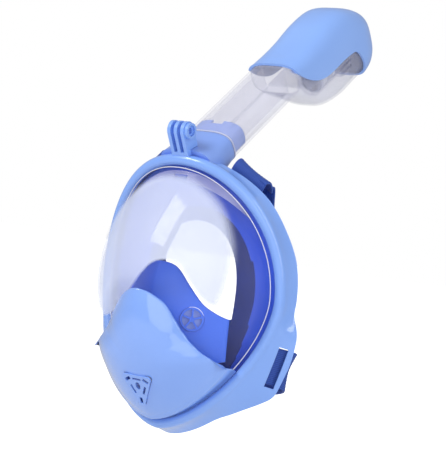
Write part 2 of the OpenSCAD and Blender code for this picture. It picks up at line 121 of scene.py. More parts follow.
@dataclass(frozen=True)
class RimShape:
    """The egg-shaped rim that the frame, lens and skirt share, in millimetres.

    Angles run round the rim from +X over the top; y is measured from the rim's front.
    """

    half_w: float = 79.5
    top: float = 97.0
    bottom: float = 104.0
    wrap: float = 30.0
    lean: float = -0.055
    depth: float = 30.0
    power_top: float = 2.08
    power_bottom: float = 1.66
    lens_depth: float = 43.0
    lens_bend: float = 4.0
    curve_x: float = 0.0062
    curve_z: float = 0.0036
    peak_z: float = -5.0
    cover_centre: Pair = (0.0, -62.0)
    cover_edge: tuple[Pair, ...] = ((5, 63), (9, 60), (14, 54.5), (20, 50), (32, 46),
                                    (44, 46.3), (57, 50), (69, 55.8), (82, 59.5), (90, 60.5))
    nose_fall: tuple[Pair, ...] = ((5, 0), (14, 3), (24, 7), (36, 10), (66, 10), (82, 5),
                                   (90, 3))
    nose_fade: float = 11.0
    nose_soft: float = 4.0

    def radius(self, t: float, off: float = 0.0) -> float:
        """Distance of the rim from the origin.

        Args:
            t: Angle round the rim, in radians.
            off: How far outside the lens opening.

        Returns:
            The distance in the front plane.
        """
        up = math.sin(t) >= 0
        power = self.power_top if up else self.power_bottom
        height = (self.top if up else self.bottom) + off
        return (abs(math.cos(t) / (self.half_w + off)) ** power
                + abs(math.sin(t) / height) ** power) ** (-1 / power)

    def wrapped_y(self, x: float, z: float) -> float:
        """How far back the rim's front lies at x, z."""
        return self.wrap * (x / self.half_w) ** 2 + self.lean * z

    def rim_y(self, t: float) -> float:
        """How far back the rim's front lies at an angle."""
        r = self.radius(t)
        return self.wrapped_y(r * math.cos(t), r * math.sin(t))

    def point(self, t: float, off: float, dy: float) -> Point:
        """A point off the rim by a distance outward and a distance back."""
        r = self.radius(t, off)
        return r * math.cos(t), self.rim_y(t) + dy, r * math.sin(t)

    def panel_y(self, x: float, z: float) -> float:
        """Front of the lens's domed panel at x, z."""
        return (-self.lens_depth + self.curve_z * (z - self.peak_z) ** 2
                + self.curve_x * x * x + self.nose_y(x, z))

    def nose_y(self, x: float, z: float) -> float:
        """How far the panel falls back beside the nose ridge.

        Args:
            x: Place across the lens.
            z: Place up the lens.

        Returns:
            The fall, which fades out past the chin cover's edge.
        """
        dx, dz = x - self.cover_centre[0], z - self.cover_centre[1]
        r = math.hypot(dx, dz)
        turn = math.degrees(math.atan2(dz, abs(dx)))
        edge = lookup(turn, self.cover_edge)
        share = (r / edge) ** 3 if r < edge else math.exp(-((r - edge) / self.nose_fade) ** 2)
        return softened(turn, self.nose_fall, self.nose_soft) * share

    def lens_y(self, x: float, z: float) -> float:
        """Front of the whole lens with its steep edge.

        Args:
            x: Place across the lens.
            z: Place up the lens.

        Returns:
            How far back the lens's front lies.
        """
        t = math.atan2(z, x)
        rho = min(1.0, math.hypot(x, z) / self.radius(t))
        edge = self.rim_y(t)
        rise = (1 - rho ** self.lens_bend) ** (1 / self.lens_bend)
        return edge - rise * (edge - self.panel_y(x, z))

    def placed(self, p: Sequence[float]) -> Vector:
        """Moves a point from the rim's own measure to the object's frame, in metres."""
        return Vector((p[0], p[1] - self.depth, p[2])) * MM


RIM = RimShape()


@dataclass(frozen=True)
class SnorkelAxis:
    """The snorkel's own frame: z runs up the tube from its neck and y to the rear."""

    tilt: float = 54.0
    neck_y: float = 29.3
    neck_z: float = 113.8

    def placed(self, p: Sequence[float]) -> Vector:
        """Moves a point from the snorkel's measure to the object's frame.

        Args:
            p: The point in the snorkel's own frame, in millimetres.

        Returns:
            The point in the object's frame, in metres.
        """
        s, c = math.sin(math.radians(self.tilt)), math.cos(math.radians(self.tilt))
        x, y, z = p
        return RIM.placed((x, self.neck_y + z * s + y * c, self.neck_z + z * c - y * s))


AXIS = SnorkelAxis()


@dataclass(frozen=True)
class WingSlot:
    """The slot in each lower wing that a strap runs through, in the rim's measure."""

    centre: Point = (84.3, 38.5, -52.6)
    size: Point = (8.2, 40.0, 34.0)
    lean: float = 16.6
    face: float = 50.5

    @property
    def turn(self) -> Matrix:
        """Turn of the slot: x runs across it, -y out of the wing's face and z along it."""
        return (Matrix.Rotation(math.radians(self.lean), 4, "Y")
                @ Matrix.Rotation(math.radians(self.face), 4, "Z"))

    def beside(self, across: float, out: float) -> Vector:
        """A point beside the slot's middle, off by distances across it and out of the wing."""
        return Vector(self.centre) + self.turn @ Vector((across, -out, 0.0))


SLOT = WingSlot()


def oblong(a: float, b: float, c: float = 0.0, n: int = 96, power: float = 3.0) -> list[Pair]:
    """Rounded oblong loop.

    Args:
        a: Half width.
        b: Half depth.
        c: Where its centre lies in y.
        n: How many points it has.
        power: How boxy it is.

    Returns:
        The loop's points as (x, y).
    """
    loop = []
    for i in range(n):
        t = 2 * math.pi * i / n
        loop.append((a * signed_power(math.cos(t), 2 / power),
                     c + b * signed_power(math.sin(t), 2 / power)))
    return loop


def circle(radius: float, n: int) -> list[Pair]:
    """Round loop of n points about the origin."""
    return [(radius * math.cos(2 * math.pi * k / n), radius * math.sin(2 * math.pi * k / n))
            for k in range(n)]


# ---------------------------------------------------------------- mesh building


def shade(mesh: bmesh.types.BMesh, smooth: float) -> None:
    """Shades a mesh smooth and keeps its sharp edges crisp.

    Args:
        mesh: The mesh.
        smooth: Edges sharper than this angle in degrees stay crisp.
    """
    for face in mesh.faces:
        face.smooth = True
    for edge in mesh.edges:
        sharp = len(edge.link_faces) == 2 and edge.calc_face_angle() > math.radians(smooth)
        edge.smooth = not sharp


def finish_mesh(name: str, mesh: bmesh.types.BMesh, smooth: float) -> bpy.types.Object:
    """Turns a bmesh into an object with tidy normals.

    Args:
        name: The object's name.
        mesh: The bmesh, which is freed.
        smooth: Edges sharper than this angle in degrees stay crisp.

    Returns:
        The new object, linked to the scene.
    """
    bmesh.ops.recalc_face_normals(mesh, faces=mesh.faces)
    shade(mesh, smooth)
    data = bpy.data.meshes.new(name)
    mesh.to_mesh(data)
    mesh.free()
    obj = bpy.data.objects.new(name, data)
    bpy.context.scene.collection.objects.link(obj)
    return obj


def loft(rows: Sequence[Sequence[Vector]], closed: bool = False,
         uv_scale: Pair | None = None) -> bmesh.types.BMesh:
    """Skins rows of points, each a closed loop.

    Args:
        rows: The loops in order, with equal numbers of points.
        closed: True where the last row joins the first; otherwise both ends are capped.
        uv_scale: Lengths per texture unit along and across, for pieces with a weave.

    Returns:
        The skin.
    """
    mesh = bmesh.new()
    verts = [[mesh.verts.new(p) for p in row] for row in rows]
    n, m = len(rows), len(rows[0])
    for i in range(n if closed else n - 1):
        here, there = verts[i], verts[(i + 1) % n]
        for j in range(m):
            k = (j + 1) % m
            mesh.faces.new((here[j], there[j], there[k], here[k]))
    if not closed:
        mesh.faces.new(list(reversed(verts[0])))
        mesh.faces.new(verts[-1])
    if uv_scale is not None:
        add_strip_uv(mesh, verts, uv_scale)
    return mesh


def add_strip_uv(mesh: bmesh.types.BMesh, verts: list[list[bmesh.types.BMVert]],
                 scale: Pair) -> None:
    """Gives a swept strip texture coordinates in millimetres along and across it.

    Args:
        mesh: The strip.
        verts: Its vertices, row by row.
        scale: Multipliers along and across.
    """
    layer = mesh.loops.layers.uv.new("UVMap")
    place: dict[bmesh.types.BMVert, Pair] = {}
    run = 0.0
    for i, row in enumerate(verts):
        if i:
            run += (row[0].co - verts[i - 1][0].co).length
        start = row[0].co
        side = row[len(row) // 2].co - start
        length = max(side.length, 1e-9)
        for v in row:
            place[v] = (run / MM * scale[0], (v.co - start).dot(side) / length / MM * scale[1])
    for face in mesh.faces:
        for loop in face.loops:
            loop[layer].uv = place[loop.vert]


def cut(obj: bpy.types.Object, tools: Sequence[bpy.types.Object],
        folded: bool = False, smooth: float = SHARP) -> None:
    """Cuts tools out of an object and removes the tools.

    Args:
        obj: The object to change.
        tools: Closed solids.
        folded: True where the object's own walls touch, which takes a slower cut.
        smooth: Edges sharper than this angle in degrees stay crisp.
    """
    for tool in tools:
        change = obj.modifiers.new("cut", "BOOLEAN")
        change.operation = "DIFFERENCE"
        change.solver = "EXACT"
        change.use_self = folded
        change.object = tool
    graph = bpy.context.evaluated_depsgraph_get()
    data = bpy.data.meshes.new_from_object(obj.evaluated_get(graph))
    obj.modifiers.clear()
    obj.data = data
    for tool in tools:
        bpy.data.objects.remove(tool)
    mesh = bmesh.new()
    mesh.from_mesh(data)
    bmesh.ops.remove_doubles(mesh, verts=mesh.verts, dist=1e-6)
    shade(mesh, smooth)
    mesh.to_mesh(data)
    mesh.free()


def rim_sweep(name: str, section: Callable[[float], Sequence[Pair]], steps: int = 288,
              smooth: float = 40.0) -> bpy.types.Object:
    """Sweeps a section of (off, dy) points round the whole rim.

    Args:
        name: The object's name.
        section: Gives the section at an angle in radians.
        steps: Stations round the rim.
        smooth: Edges sharper than this angle in degrees stay crisp.

    Returns:
        The swept object.
    """
    rows = []
    for i in range(steps):
        t = 2 * math.pi * i / steps
        rows.append([RIM.placed(RIM.point(t, off, dy)) for off, dy in section(t)])
    return finish_mesh(name, loft(rows, closed=True), smooth)


def box_tool(size: Sequence[float], matrix: Matrix) -> bpy.types.Object:
    """Makes a box for cutting.

    Args:
        size: Its sides in millimetres.
        matrix: Where it stands, in metres.

    Returns:
        The box.
    """
    mesh = bmesh.new()
    bmesh.ops.create_cube(mesh, size=1.0)
    bmesh.ops.scale(mesh, vec=Vector(size) * MM, verts=mesh.verts)
    bmesh.ops.transform(mesh, matrix=matrix, verts=mesh.verts)
    return finish_mesh("tool", mesh, TOOL_SMOOTH)


def prism_tool(outline: Sequence[Pair], low: float, high: float,
               place: Callable[[Sequence[float]], Vector]) -> bpy.types.Object:
    """Makes a straight prism for cutting.

    Args:
        outline: Its outline in x, y, in millimetres.
        low: Height of its lower end.
        high: Height of its upper end.
        place: Moves a local point to the object's frame.

    Returns:
        The prism.
    """
    rows = [[place((x, y, z)) for x, y in outline] for z in (low, high)]
    return finish_mesh("tool", loft(rows), TOOL_SMOOTH)


def smooth_path(points: Sequence[Vector], per_span: int) -> list[Vector]:
    """Runs a smooth curve through points.

    Args:
        points: The points it passes through.
        per_span: How many steps between two points.

    Returns:
        Points along the curve.
    """
    ends = [points[0] * 2 - points[1], *points, points[-1] * 2 - points[-2]]
    out = []
    for i in range(1, len(ends) - 2):
        a, b, c, d = ends[i - 1:i + 3]
        for k in range(per_span):
            u = k / per_span
            out.append(0.5 * ((2 * b) + (c - a) * u + (2 * a - 5 * b + 4 * c - d) * u * u
                              + (3 * b - a - 3 * c + d) * u ** 3))
    out.append(points[-1].copy())
    return out


# ---------------------------------------------------------------- shared effects


class Effects:
    """Shader node groups that several finishes share, each built once."""

    made: dict[str, bpy.types.NodeTree] = {}

    @classmethod
    def start(cls, name: str, inputs: dict[str, float],
              outputs: Sequence[str]) -> tuple[bpy.types.NodeTree, bpy.types.Node, bpy.types.Node]:
        """Makes an empty group with plain number sockets.

        Args:
            name: The group's name.
            inputs: Input names with their starting values.
            outputs: Output names.

        Returns:
            The group, its input node and its output node.
        """
        tree = bpy.data.node_groups.new(name, "ShaderNodeTree")
        for label, value in inputs.items():
            socket = tree.interface.new_socket(label, in_out="INPUT", socket_type="NodeSocketFloat")
            socket.default_value = value
        for label in outputs:
            tree.interface.new_socket(label, in_out="OUTPUT", socket_type="NodeSocketFloat")
        cls.made[name] = tree
        return tree, tree.nodes.new("NodeGroupInput"), tree.nodes.new("NodeGroupOutput")

    @staticmethod
    def math(tree: bpy.types.NodeTree, kind: str, a: object, b: object = 0.0,
             c: object = 0.0) -> bpy.types.NodeSocket:
        """Adds one arithmetic node.

        Args:
            tree: The tree that it goes in.
            kind: The operation.
            a: First socket or number.
            b: Second socket or number.
            c: Third socket or number.

        Returns:
            The node's output.
        """
        node = tree.nodes.new("ShaderNodeMath")
        node.operation = kind
        for socket, value in zip(node.inputs, (a, b, c)):
            if isinstance(value, (int, float)):
                socket.default_value = value
            else:
                tree.links.new(value, socket)
        return node.outputs[0]

    @staticmethod
    def place(tree: bpy.types.NodeTree, group: bpy.types.NodeTree,
              values: dict[str, float]) -> bpy.types.Node:
        """Puts a shared effect in a material.

        Args:
            tree: The material's tree.
            group: The effect.
            values: The material's own values for it.

        Returns:
            The group's node.
        """
        node = tree.nodes.new("ShaderNodeGroup")
        node.node_tree = group
        for label, value in values.items():
            node.inputs[label].default_value = value
        return node

    @staticmethod
    def noise(tree: bpy.types.NodeTree, vector: bpy.types.NodeSocket,
              scale: object, detail: float) -> bpy.types.NodeSocket:
        """Adds a noise texture.

        Args:
            tree: The tree that it goes in.
            vector: Where the texture is read.
            scale: Its fineness, as a socket or a number.
            detail: How many layers it has.

        Returns:
            The texture's value.
        """
        node = tree.nodes.new("ShaderNodeTexNoise")
        node.inputs["Detail"].default_value = detail
        tree.links.new(vector, node.inputs["Vector"])
        if isinstance(scale, (int, float)):
            node.inputs["Scale"].default_value = scale
        else:
            tree.links.new(scale, node.inputs["Scale"])
        return node.outputs[0]

    @classmethod
    def moulded(cls) -> bpy.types.NodeTree:
        """Flow marks, fine texture and faint scuffs of a moulded surface.

        Returns:
            The group, with Shade, Gloss and Height outputs.
        """
        if "moulded_surface" in cls.made:
            return cls.made["moulded_surface"]
        tree, src, out = cls.start("moulded_surface",
                                   {"Flow": 14.0, "Grain": 900.0, "Rough": 0.3, "Spread": 0.08},
                                   ["Shade", "Gloss", "Height"])
        where = tree.nodes.new("ShaderNodeTexCoord").outputs["Object"]
        flow = cls.noise(tree, where, src.outputs["Flow"], 2.0)
        grain = cls.noise(tree, where, src.outputs["Grain"], 2.0)
        stretch = tree.nodes.new("ShaderNodeMapping")
        stretch.inputs["Scale"].default_value = (60.0, 900.0, 240.0)
        stretch.inputs["Rotation"].default_value = (0.5, 0.3, 0.9)
        tree.links.new(where, stretch.inputs["Vector"])
        scuff = cls.noise(tree, stretch.outputs[0], 1.0, 4.0)
        mark = cls.math(tree, "MULTIPLY", cls.math(tree, "GREATER_THAN", scuff, 0.68), flow)
        shade_mix = cls.math(tree, "MULTIPLY_ADD", flow, 0.8, 0.1)
        gloss = cls.math(tree, "MULTIPLY_ADD", flow, src.outputs["Spread"], src.outputs["Rough"])
        gloss = cls.math(tree, "MULTIPLY_ADD", mark, 0.12, gloss)
        height = cls.math(tree, "MULTIPLY_ADD", grain, 0.6, cls.math(tree, "MULTIPLY", flow, 0.4))
        for label, source in (("Shade", shade_mix), ("Gloss", gloss), ("Height", height)):
            tree.links.new(source, out.inputs[label])
        return tree

    @classmethod
    def webbing(cls) -> bpy.types.NodeTree:
        """Ribs and cross threads of a woven strap, in millimetres of its own length.

        Returns:
            The group, with Thread and Height outputs.
        """
        if "webbing_weave" in cls.made:
            return cls.made["webbing_weave"]
        tree, src, out = cls.start("webbing_weave", {"Rib": 1.4, "Pick": 0.9},
                                   ["Thread", "Height"])
        uv = tree.nodes.new("ShaderNodeTexCoord").outputs["UV"]
        split = tree.nodes.new("ShaderNodeSeparateXYZ")
        tree.links.new(uv, split.inputs[0])
        along = cls.math(tree, "DIVIDE", split.outputs[0], src.outputs["Pick"])
        across = cls.math(tree, "DIVIDE", split.outputs[1], src.outputs["Rib"])
        ribs = cls.math(tree, "ABSOLUTE", cls.math(
            tree, "SINE", cls.math(tree, "MULTIPLY", across, math.pi)))
        offset = cls.math(tree, "MULTIPLY", cls.math(tree, "FLOOR", across), 0.5)
        picks = cls.math(tree, "ABSOLUTE", cls.math(
            tree, "SINE", cls.math(tree, "MULTIPLY", cls.math(tree, "ADD", along, offset),
                                   math.pi)))
        weave = cls.math(tree, "MULTIPLY", ribs, cls.math(tree, "MULTIPLY_ADD", picks, 0.5, 0.5))
        fuzz = cls.noise(tree, uv, 3.0, 2.0)
        tree.links.new(cls.math(tree, "MULTIPLY_ADD", fuzz, 0.3,
                                cls.math(tree, "MULTIPLY", weave, 0.7)), out.inputs["Thread"])
        tree.links.new(weave, out.inputs["Height"])
        return tree


def shade_ramp(tree: bpy.types.NodeTree, factor: bpy.types.NodeSocket, dark: Colour,
               light: Colour) -> bpy.types.NodeSocket:
    """Blends two colours by a factor.

    Args:
        tree: The material's tree.
        factor: What drives the blend.
        dark: Colour at 0.
        light: Colour at 1.

    Returns:
        The blended colour.
    """
    ramp = tree.nodes.new("ShaderNodeValToRGB")
    ramp.color_ramp.elements[0].color = (*dark, 1)
    ramp.color_ramp.elements[1].color = (*light, 1)
    ramp.color_ramp.elements[0].position = 0.25
    ramp.color_ramp.elements[1].position = 0.75
    tree.links.new(factor, ramp.inputs[0])
    return ramp.outputs[0]


@dataclass(frozen=True)
class Finish:
    """A surface with its own colour spread, roughness and texture."""

    name: str
    dark: Colour
    light: Colour
    rough: float = 0.3
    spread: float = 0.08
    flow: float = 14.0
    grain: float = 900.0
    bump: float = 0.02
    relief: float = 0.3
    settings: tuple[tuple[str, float], ...] = ()
    glow: float = 0.0

    def pattern(self, tree: bpy.types.NodeTree,
                surface: bpy.types.Node) -> tuple[bpy.types.NodeSocket, bpy.types.NodeSocket]:
        """What spreads the two colours and what raises the surface: the moulding's texture."""
        return surface.outputs["Shade"], surface.outputs["Height"]

    def extras(self, tree: bpy.types.NodeTree, shader: bpy.types.Node) -> None:
        """Lights the surface for the camera alone, where the finish has a glow.

        Args:
            tree: The material's tree.
            shader: Its shader.
        """
        if self.glow:
            path = tree.nodes.new("ShaderNodeLightPath")
            tree.links.new(shader.inputs["Base Color"].links[0].from_socket,
                           shader.inputs["Emission Color"])
            tree.links.new(Effects.math(tree, "MULTIPLY", path.outputs["Is Camera Ray"],
                                        self.glow), shader.inputs["Emission Strength"])

    def material(self) -> bpy.types.Material:
        """Builds the material, or returns it if it's already built.

        Returns:
            The material.
        """
        known = bpy.data.materials.get(self.name)
        if known is not None:
            return known
        made = bpy.data.materials.new(self.name)
        made.use_nodes = True
        tree = made.node_tree
        shader = tree.nodes["Principled BSDF"]
        surface = Effects.place(tree, Effects.moulded(),
                                {"Flow": self.flow, "Grain": self.grain, "Rough": self.rough,
                                 "Spread": self.spread})
        spread, height = self.pattern(tree, surface)
        bump = tree.nodes.new("ShaderNodeBump")
        bump.inputs["Strength"].default_value = self.relief
        bump.inputs["Distance"].default_value = self.bump * MM
        for source, target in (
                (shade_ramp(tree, spread, self.dark, self.light), shader.inputs["Base Color"]),
                (surface.outputs["Gloss"], shader.inputs["Roughness"]),
                (height, bump.inputs["Height"]),
                (bump.outputs[0], shader.inputs["Normal"])):
            tree.links.new(source, target)
        for label, value in self.settings:
            shader.inputs[label].default_value = value
        self.extras(tree, shader)
        return made

    def dress(self, obj: bpy.types.Object) -> None:
        """Gives an object this finish alone."""
        obj.data.materials.clear()
        obj.data.materials.append(self.material())


@dataclass(frozen=True)
class WebbingFinish(Finish):
    """Woven elastic strap, whose threads follow its own length."""

    relief: float = 0.7
    rib: float = 1.5
    pick: float = 1.0

    def pattern(self, tree: bpy.types.NodeTree,
                surface: bpy.types.Node) -> tuple[bpy.types.NodeSocket, bpy.types.NodeSocket]:
        """What spreads the two colours and what raises the surface: the weave."""
        weave = Effects.place(tree, Effects.webbing(), {"Rib": self.rib, "Pick": self.pick})
        return weave.outputs["Thread"], weave.outputs["Height"]


@dataclass(frozen=True)
class PaintedGlareFinish(Finish):
    """Clear moulding with a painted glare over its domed front: a milky painted reflection raised in
    its alpha.

    The painted glare fills an oval, in millimetres of the object's x and z, above a floor line that
    follows the nose pocket's edge.
    """

    clear: float = 0.02
    # Alpha at the middle of the painted glare, a milky painted reflection over the dome.
    painted_glare: float = 0.58
    middle: Pair = (0.0, 18.0)
    reach: Pair = (63.5, 71.5)
    glare_edge_noise: Pair = (16.0, 0.06)
    fade: Pair = (0.93, 1.0633)
    floor_fade: Pair = (-0.006, 0.010)
    half_span: float = 80.0
    floor: tuple[Pair, ...] = ((-80, -34), (-31.5, -23), (-19.4, -10.4), (-8.1, 1.3),
                               (-0.1, 10.9), (7.2, 18.8), (13.3, 22), (21.2, 23), (29.2, 21),
                               (35, 14), (40.1, 7.8), (45.5, 0.9), (49.8, -3.9), (57.6, -8),
                               (80, -8))

    def share(self, value: float) -> float:
        """A place in millimetres as a share of the whole span."""
        return (value + self.half_span) / (2 * self.half_span)

    @staticmethod
    def ease(tree: bpy.types.NodeTree, value: bpy.types.NodeSocket, start: Pair,
             end: Pair) -> bpy.types.NodeSocket:
        """Runs smoothly from one level to another.

        Args:
            tree: The tree that it goes in.
            value: What drives it.
            start: Where it starts and its level there.
            end: Where it ends and its level there.

        Returns:
            The level.
        """
        node = tree.nodes.new("ShaderNodeMapRange")
        node.interpolation_type = "SMOOTHSTEP"
        tree.links.new(value, node.inputs["Value"])
        for label, (key, level) in (("Min", start), ("Max", end)):
            node.inputs[f"From {label}"].default_value = key
            node.inputs[f"To {label}"].default_value = level
        return node.outputs[0]

    def oval(self, tree: bpy.types.NodeTree, where: bpy.types.NodeSocket,
             x: bpy.types.NodeSocket, z: bpy.types.NodeSocket) -> bpy.types.NodeSocket:
        """Distance from the painted glare's middle, 1 at the oval, with a little noise on its edge.

        Args:
            tree: The material's tree.
            where: The object's own coordinates.
            x: Their x.
            z: Their z.

        Returns:
            The distance.
        """
        parts = []
        for socket, middle, reach in zip((x, z), self.middle, self.reach):
            part = Effects.math(tree, "MULTIPLY_ADD", socket, 1 / (reach * MM), -middle / reach)
            parts.append(Effects.math(tree, "MULTIPLY", part, part))
        away = Effects.math(tree, "SQRT", Effects.math(tree, "ADD", *parts))
        scale, strength = self.glare_edge_noise
        glare_edge_noise = Effects.noise(tree, where, scale, 2.0)
        return Effects.math(tree, "MULTIPLY_ADD", glare_edge_noise, strength, away)

    def above_floor(self, tree: bpy.types.NodeTree, x: bpy.types.NodeSocket,
                    z: bpy.types.NodeSocket) -> bpy.types.NodeSocket:
        """Mask of what lies above the floor line.

        Args:
            tree: The material's tree.
            x: The object's own x.
            z: Its own z.

        Returns:
            The mask.
        """
        line = tree.nodes.new("ShaderNodeFloatCurve")
        curve = line.mapping.curves[0]
        for across, up in self.floor[1:-1]:
            curve.points.new(self.share(across), self.share(up))
        for point, (_, up) in zip((curve.points[0], curve.points[-1]),
                                  (self.floor[0], self.floor[-1])):
            point.location.y = self.share(up)
        line.mapping.update()
        scale = 1 / (2 * self.half_span * MM)
        across, level = (Effects.math(tree, "MULTIPLY_ADD", s, scale, 0.5) for s in (x, z))
        tree.links.new(across, line.inputs["Value"])
        height = Effects.math(tree, "SUBTRACT", level, line.outputs[0])
        low, high = self.floor_fade
        return self.ease(tree, height, (low, 0.0), (high, 1.0))

    def extras(self, tree: bpy.types.NodeTree, shader: bpy.types.Node) -> None:
        """Adds the painted glare, a painted reflection, to the clear moulding's alpha.

        Args:
            tree: The material's tree.
            shader: Its shader.
        """
        where = tree.nodes.new("ShaderNodeTexCoord").outputs["Object"]
        split = tree.nodes.new("ShaderNodeSeparateXYZ")
        tree.links.new(where, split.inputs[0])
        x, _, z = split.outputs
        near, far = self.fade
        # Painted reflection: the milky glare is raised in the alpha by place on the lens, inside the
        # oval and above the floor line.
        painted_glare_level = self.ease(tree, self.oval(tree, where, x, z), (near, self.painted_glare),
                          (far, self.clear))
        painted_glare = Effects.math(tree, "SUBTRACT", painted_glare_level, self.clear)
        tree.links.new(Effects.math(tree, "MULTIPLY_ADD", painted_glare, self.above_floor(tree, x, z),
                                    self.clear), shader.inputs["Alpha"])


class Palette:
    """Every finish on the mask."""

    FRAME = Finish("frame_blue_plastic", (0.205, 0.385, 0.90), (0.235, 0.425, 0.95),
                   rough=0.3, settings=(("Coat Weight", 0.7), ("Coat Roughness", 0.07)))
    CAP = Finish("cap_blue_plastic", (0.25, 0.44, 0.95), (0.29, 0.49, 0.99), rough=0.3,
                 settings=(("Coat Weight", 0.3), ("Coat Roughness", 0.2)))
    COVER = Finish("chin_cover_plastic", (0.21, 0.385, 0.91), (0.25, 0.43, 0.96),
                   rough=0.16, spread=0.05,
                   settings=(("Coat Weight", 1.0), ("Coat Roughness", 0.05)))
    SOCKET = Finish("socket_blue_plastic", (0.21, 0.35, 0.83), (0.25, 0.40, 0.89), rough=0.3,
                    settings=(("Coat Weight", 0.25),))
    # The lens's colours show where its alpha is raised, so they are the colour of the painted glare,
    # a painted reflection.
    LENS = PaintedGlareFinish("lens_clear", (0.70, 0.76, 1.0), (0.82, 0.87, 1.0), rough=0.03,
                      spread=0.03, bump=0.004,
                      settings=(("IOR", 1.33), ("Specular IOR Level", 0.5)))
    TUBE = Finish("tube_clear", (0.74, 0.75, 0.94), (0.84, 0.84, 0.98), rough=0.12, spread=0.1,
                  bump=0.01, settings=(("Alpha", 0.18), ("IOR", 1.5)))
    HOUSING = Finish("housing_clear", (0.70, 0.72, 0.95), (0.80, 0.82, 0.99), rough=0.1,
                     spread=0.1, bump=0.01, settings=(("Alpha", 0.22), ("IOR", 1.5)))
    BROW = Finish("brow_tinted_clear", (0.30, 0.32, 0.66), (0.38, 0.40, 0.74), rough=0.15,
                  settings=(("Alpha", 0.8),))
    SILICONE = Finish("skirt_silicone", (0.035, 0.120, 0.90), (0.055, 0.165, 0.98), rough=0.34,
                      flow=22.0, grain=500.0,
                      settings=(("Sheen Weight", 0.2), ("Sheen Roughness", 0.4)))
    # Painted shade: a dark navy finish for the skirt's lip round the face opening, standing in for
    # its shadow.
    LIP_SHADE = Finish("skirt_lip_silicone", (0.008, 0.022, 0.20), (0.018, 0.045, 0.33), rough=0.45,
                 flow=26.0, grain=500.0)
    POCKET = Finish("pocket_silicone", (0.040, 0.15, 0.86), (0.065, 0.20, 0.95), rough=0.36,
                    flow=18.0, grain=500.0,
                    settings=(("Sheen Weight", 0.15), ("Sheen Roughness", 0.4)))
    FLAP = Finish("flap_silicone", (0.13, 0.22, 0.62), (0.18, 0.28, 0.70), rough=0.3)
    GASKET = Finish("gasket_rubber", (0.02, 0.04, 0.20), (0.03, 0.06, 0.26), rough=0.5)
    WHITE = Finish("white_moulding", (0.78, 0.79, 0.86), (0.86, 0.87, 0.92), rough=0.35)
    SEAL = Finish("seal_pale_rubber", (0.48, 0.52, 0.72), (0.60, 0.63, 0.80), rough=0.4)
    STEEL = Finish("stainless_screw", (0.52, 0.53, 0.55), (0.66, 0.67, 0.68), rough=0.22,
                   spread=0.2, flow=300.0, settings=(("Metallic", 1.0),))
    STRAP = WebbingFinish("strap_webbing", (0.008, 0.042, 0.27), (0.024, 0.085, 0.42),
                          rough=0.62, bump=0.22,
                          settings=(("Sheen Weight", 0.08), ("Sheen Roughness", 0.5)))
    HUB = Finish("strap_hub_rubber", (0.016, 0.055, 0.32), (0.028, 0.08, 0.40), rough=0.5,
                 grain=700.0, bump=0.05)
    FLOOR = Finish("studio_floor", (0.93, 0.93, 0.935), (0.95, 0.95, 0.95), rough=0.8, flow=0.6,
                   glow=0.95)


# ---------------------------------------------------------------- the mask's assemblies


@dataclass
class Assembly:
    """Base of the sub-assemblies: keeps the loaded frame and mounts pieces on it."""

    frame: dict = field(repr=False)

    def mount(self, obj: bpy.types.Object, body: Body, finish: Finish, slot: str,
              *nodes: str) -> None:
        """Dresses a new piece and puts it on its body in place of its plain nodes.

        Args:
            obj: The piece.
            body: The body that carries it.
            finish: Its finish.
            slot: The material slot that it stands for; not used.
            nodes: The plain nodes that it replaces.
        """
        finish.dress(obj)
        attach(obj, body.value)
        if nodes:
            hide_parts(*nodes)
        LOG.info("%s: %d faces", obj.name, len(obj.data.polygons))

    def keep(self, node: str, finish: Finish, bevel: float = 0.0) -> None:
        """Dresses a node whose own shape is right.

        Args:
            node: The node's name.
            finish: Its finish.
            bevel: Rounding of its sharp edges, in millimetres.
        """
        obj = self.frame["nodes"][node]
        finish.dress(obj)
        if bevel:
            rounding = obj.modifiers.new("rounding", "BEVEL")
            rounding.width = bevel * MM
            rounding.segments = BEVEL_STEPS
            rounding.limit_method = "ANGLE"
            rounding.angle_limit = math.radians(BEVEL_ANGLE)
            rounding.harden_normals = True
        LOG.info("%s kept", node)


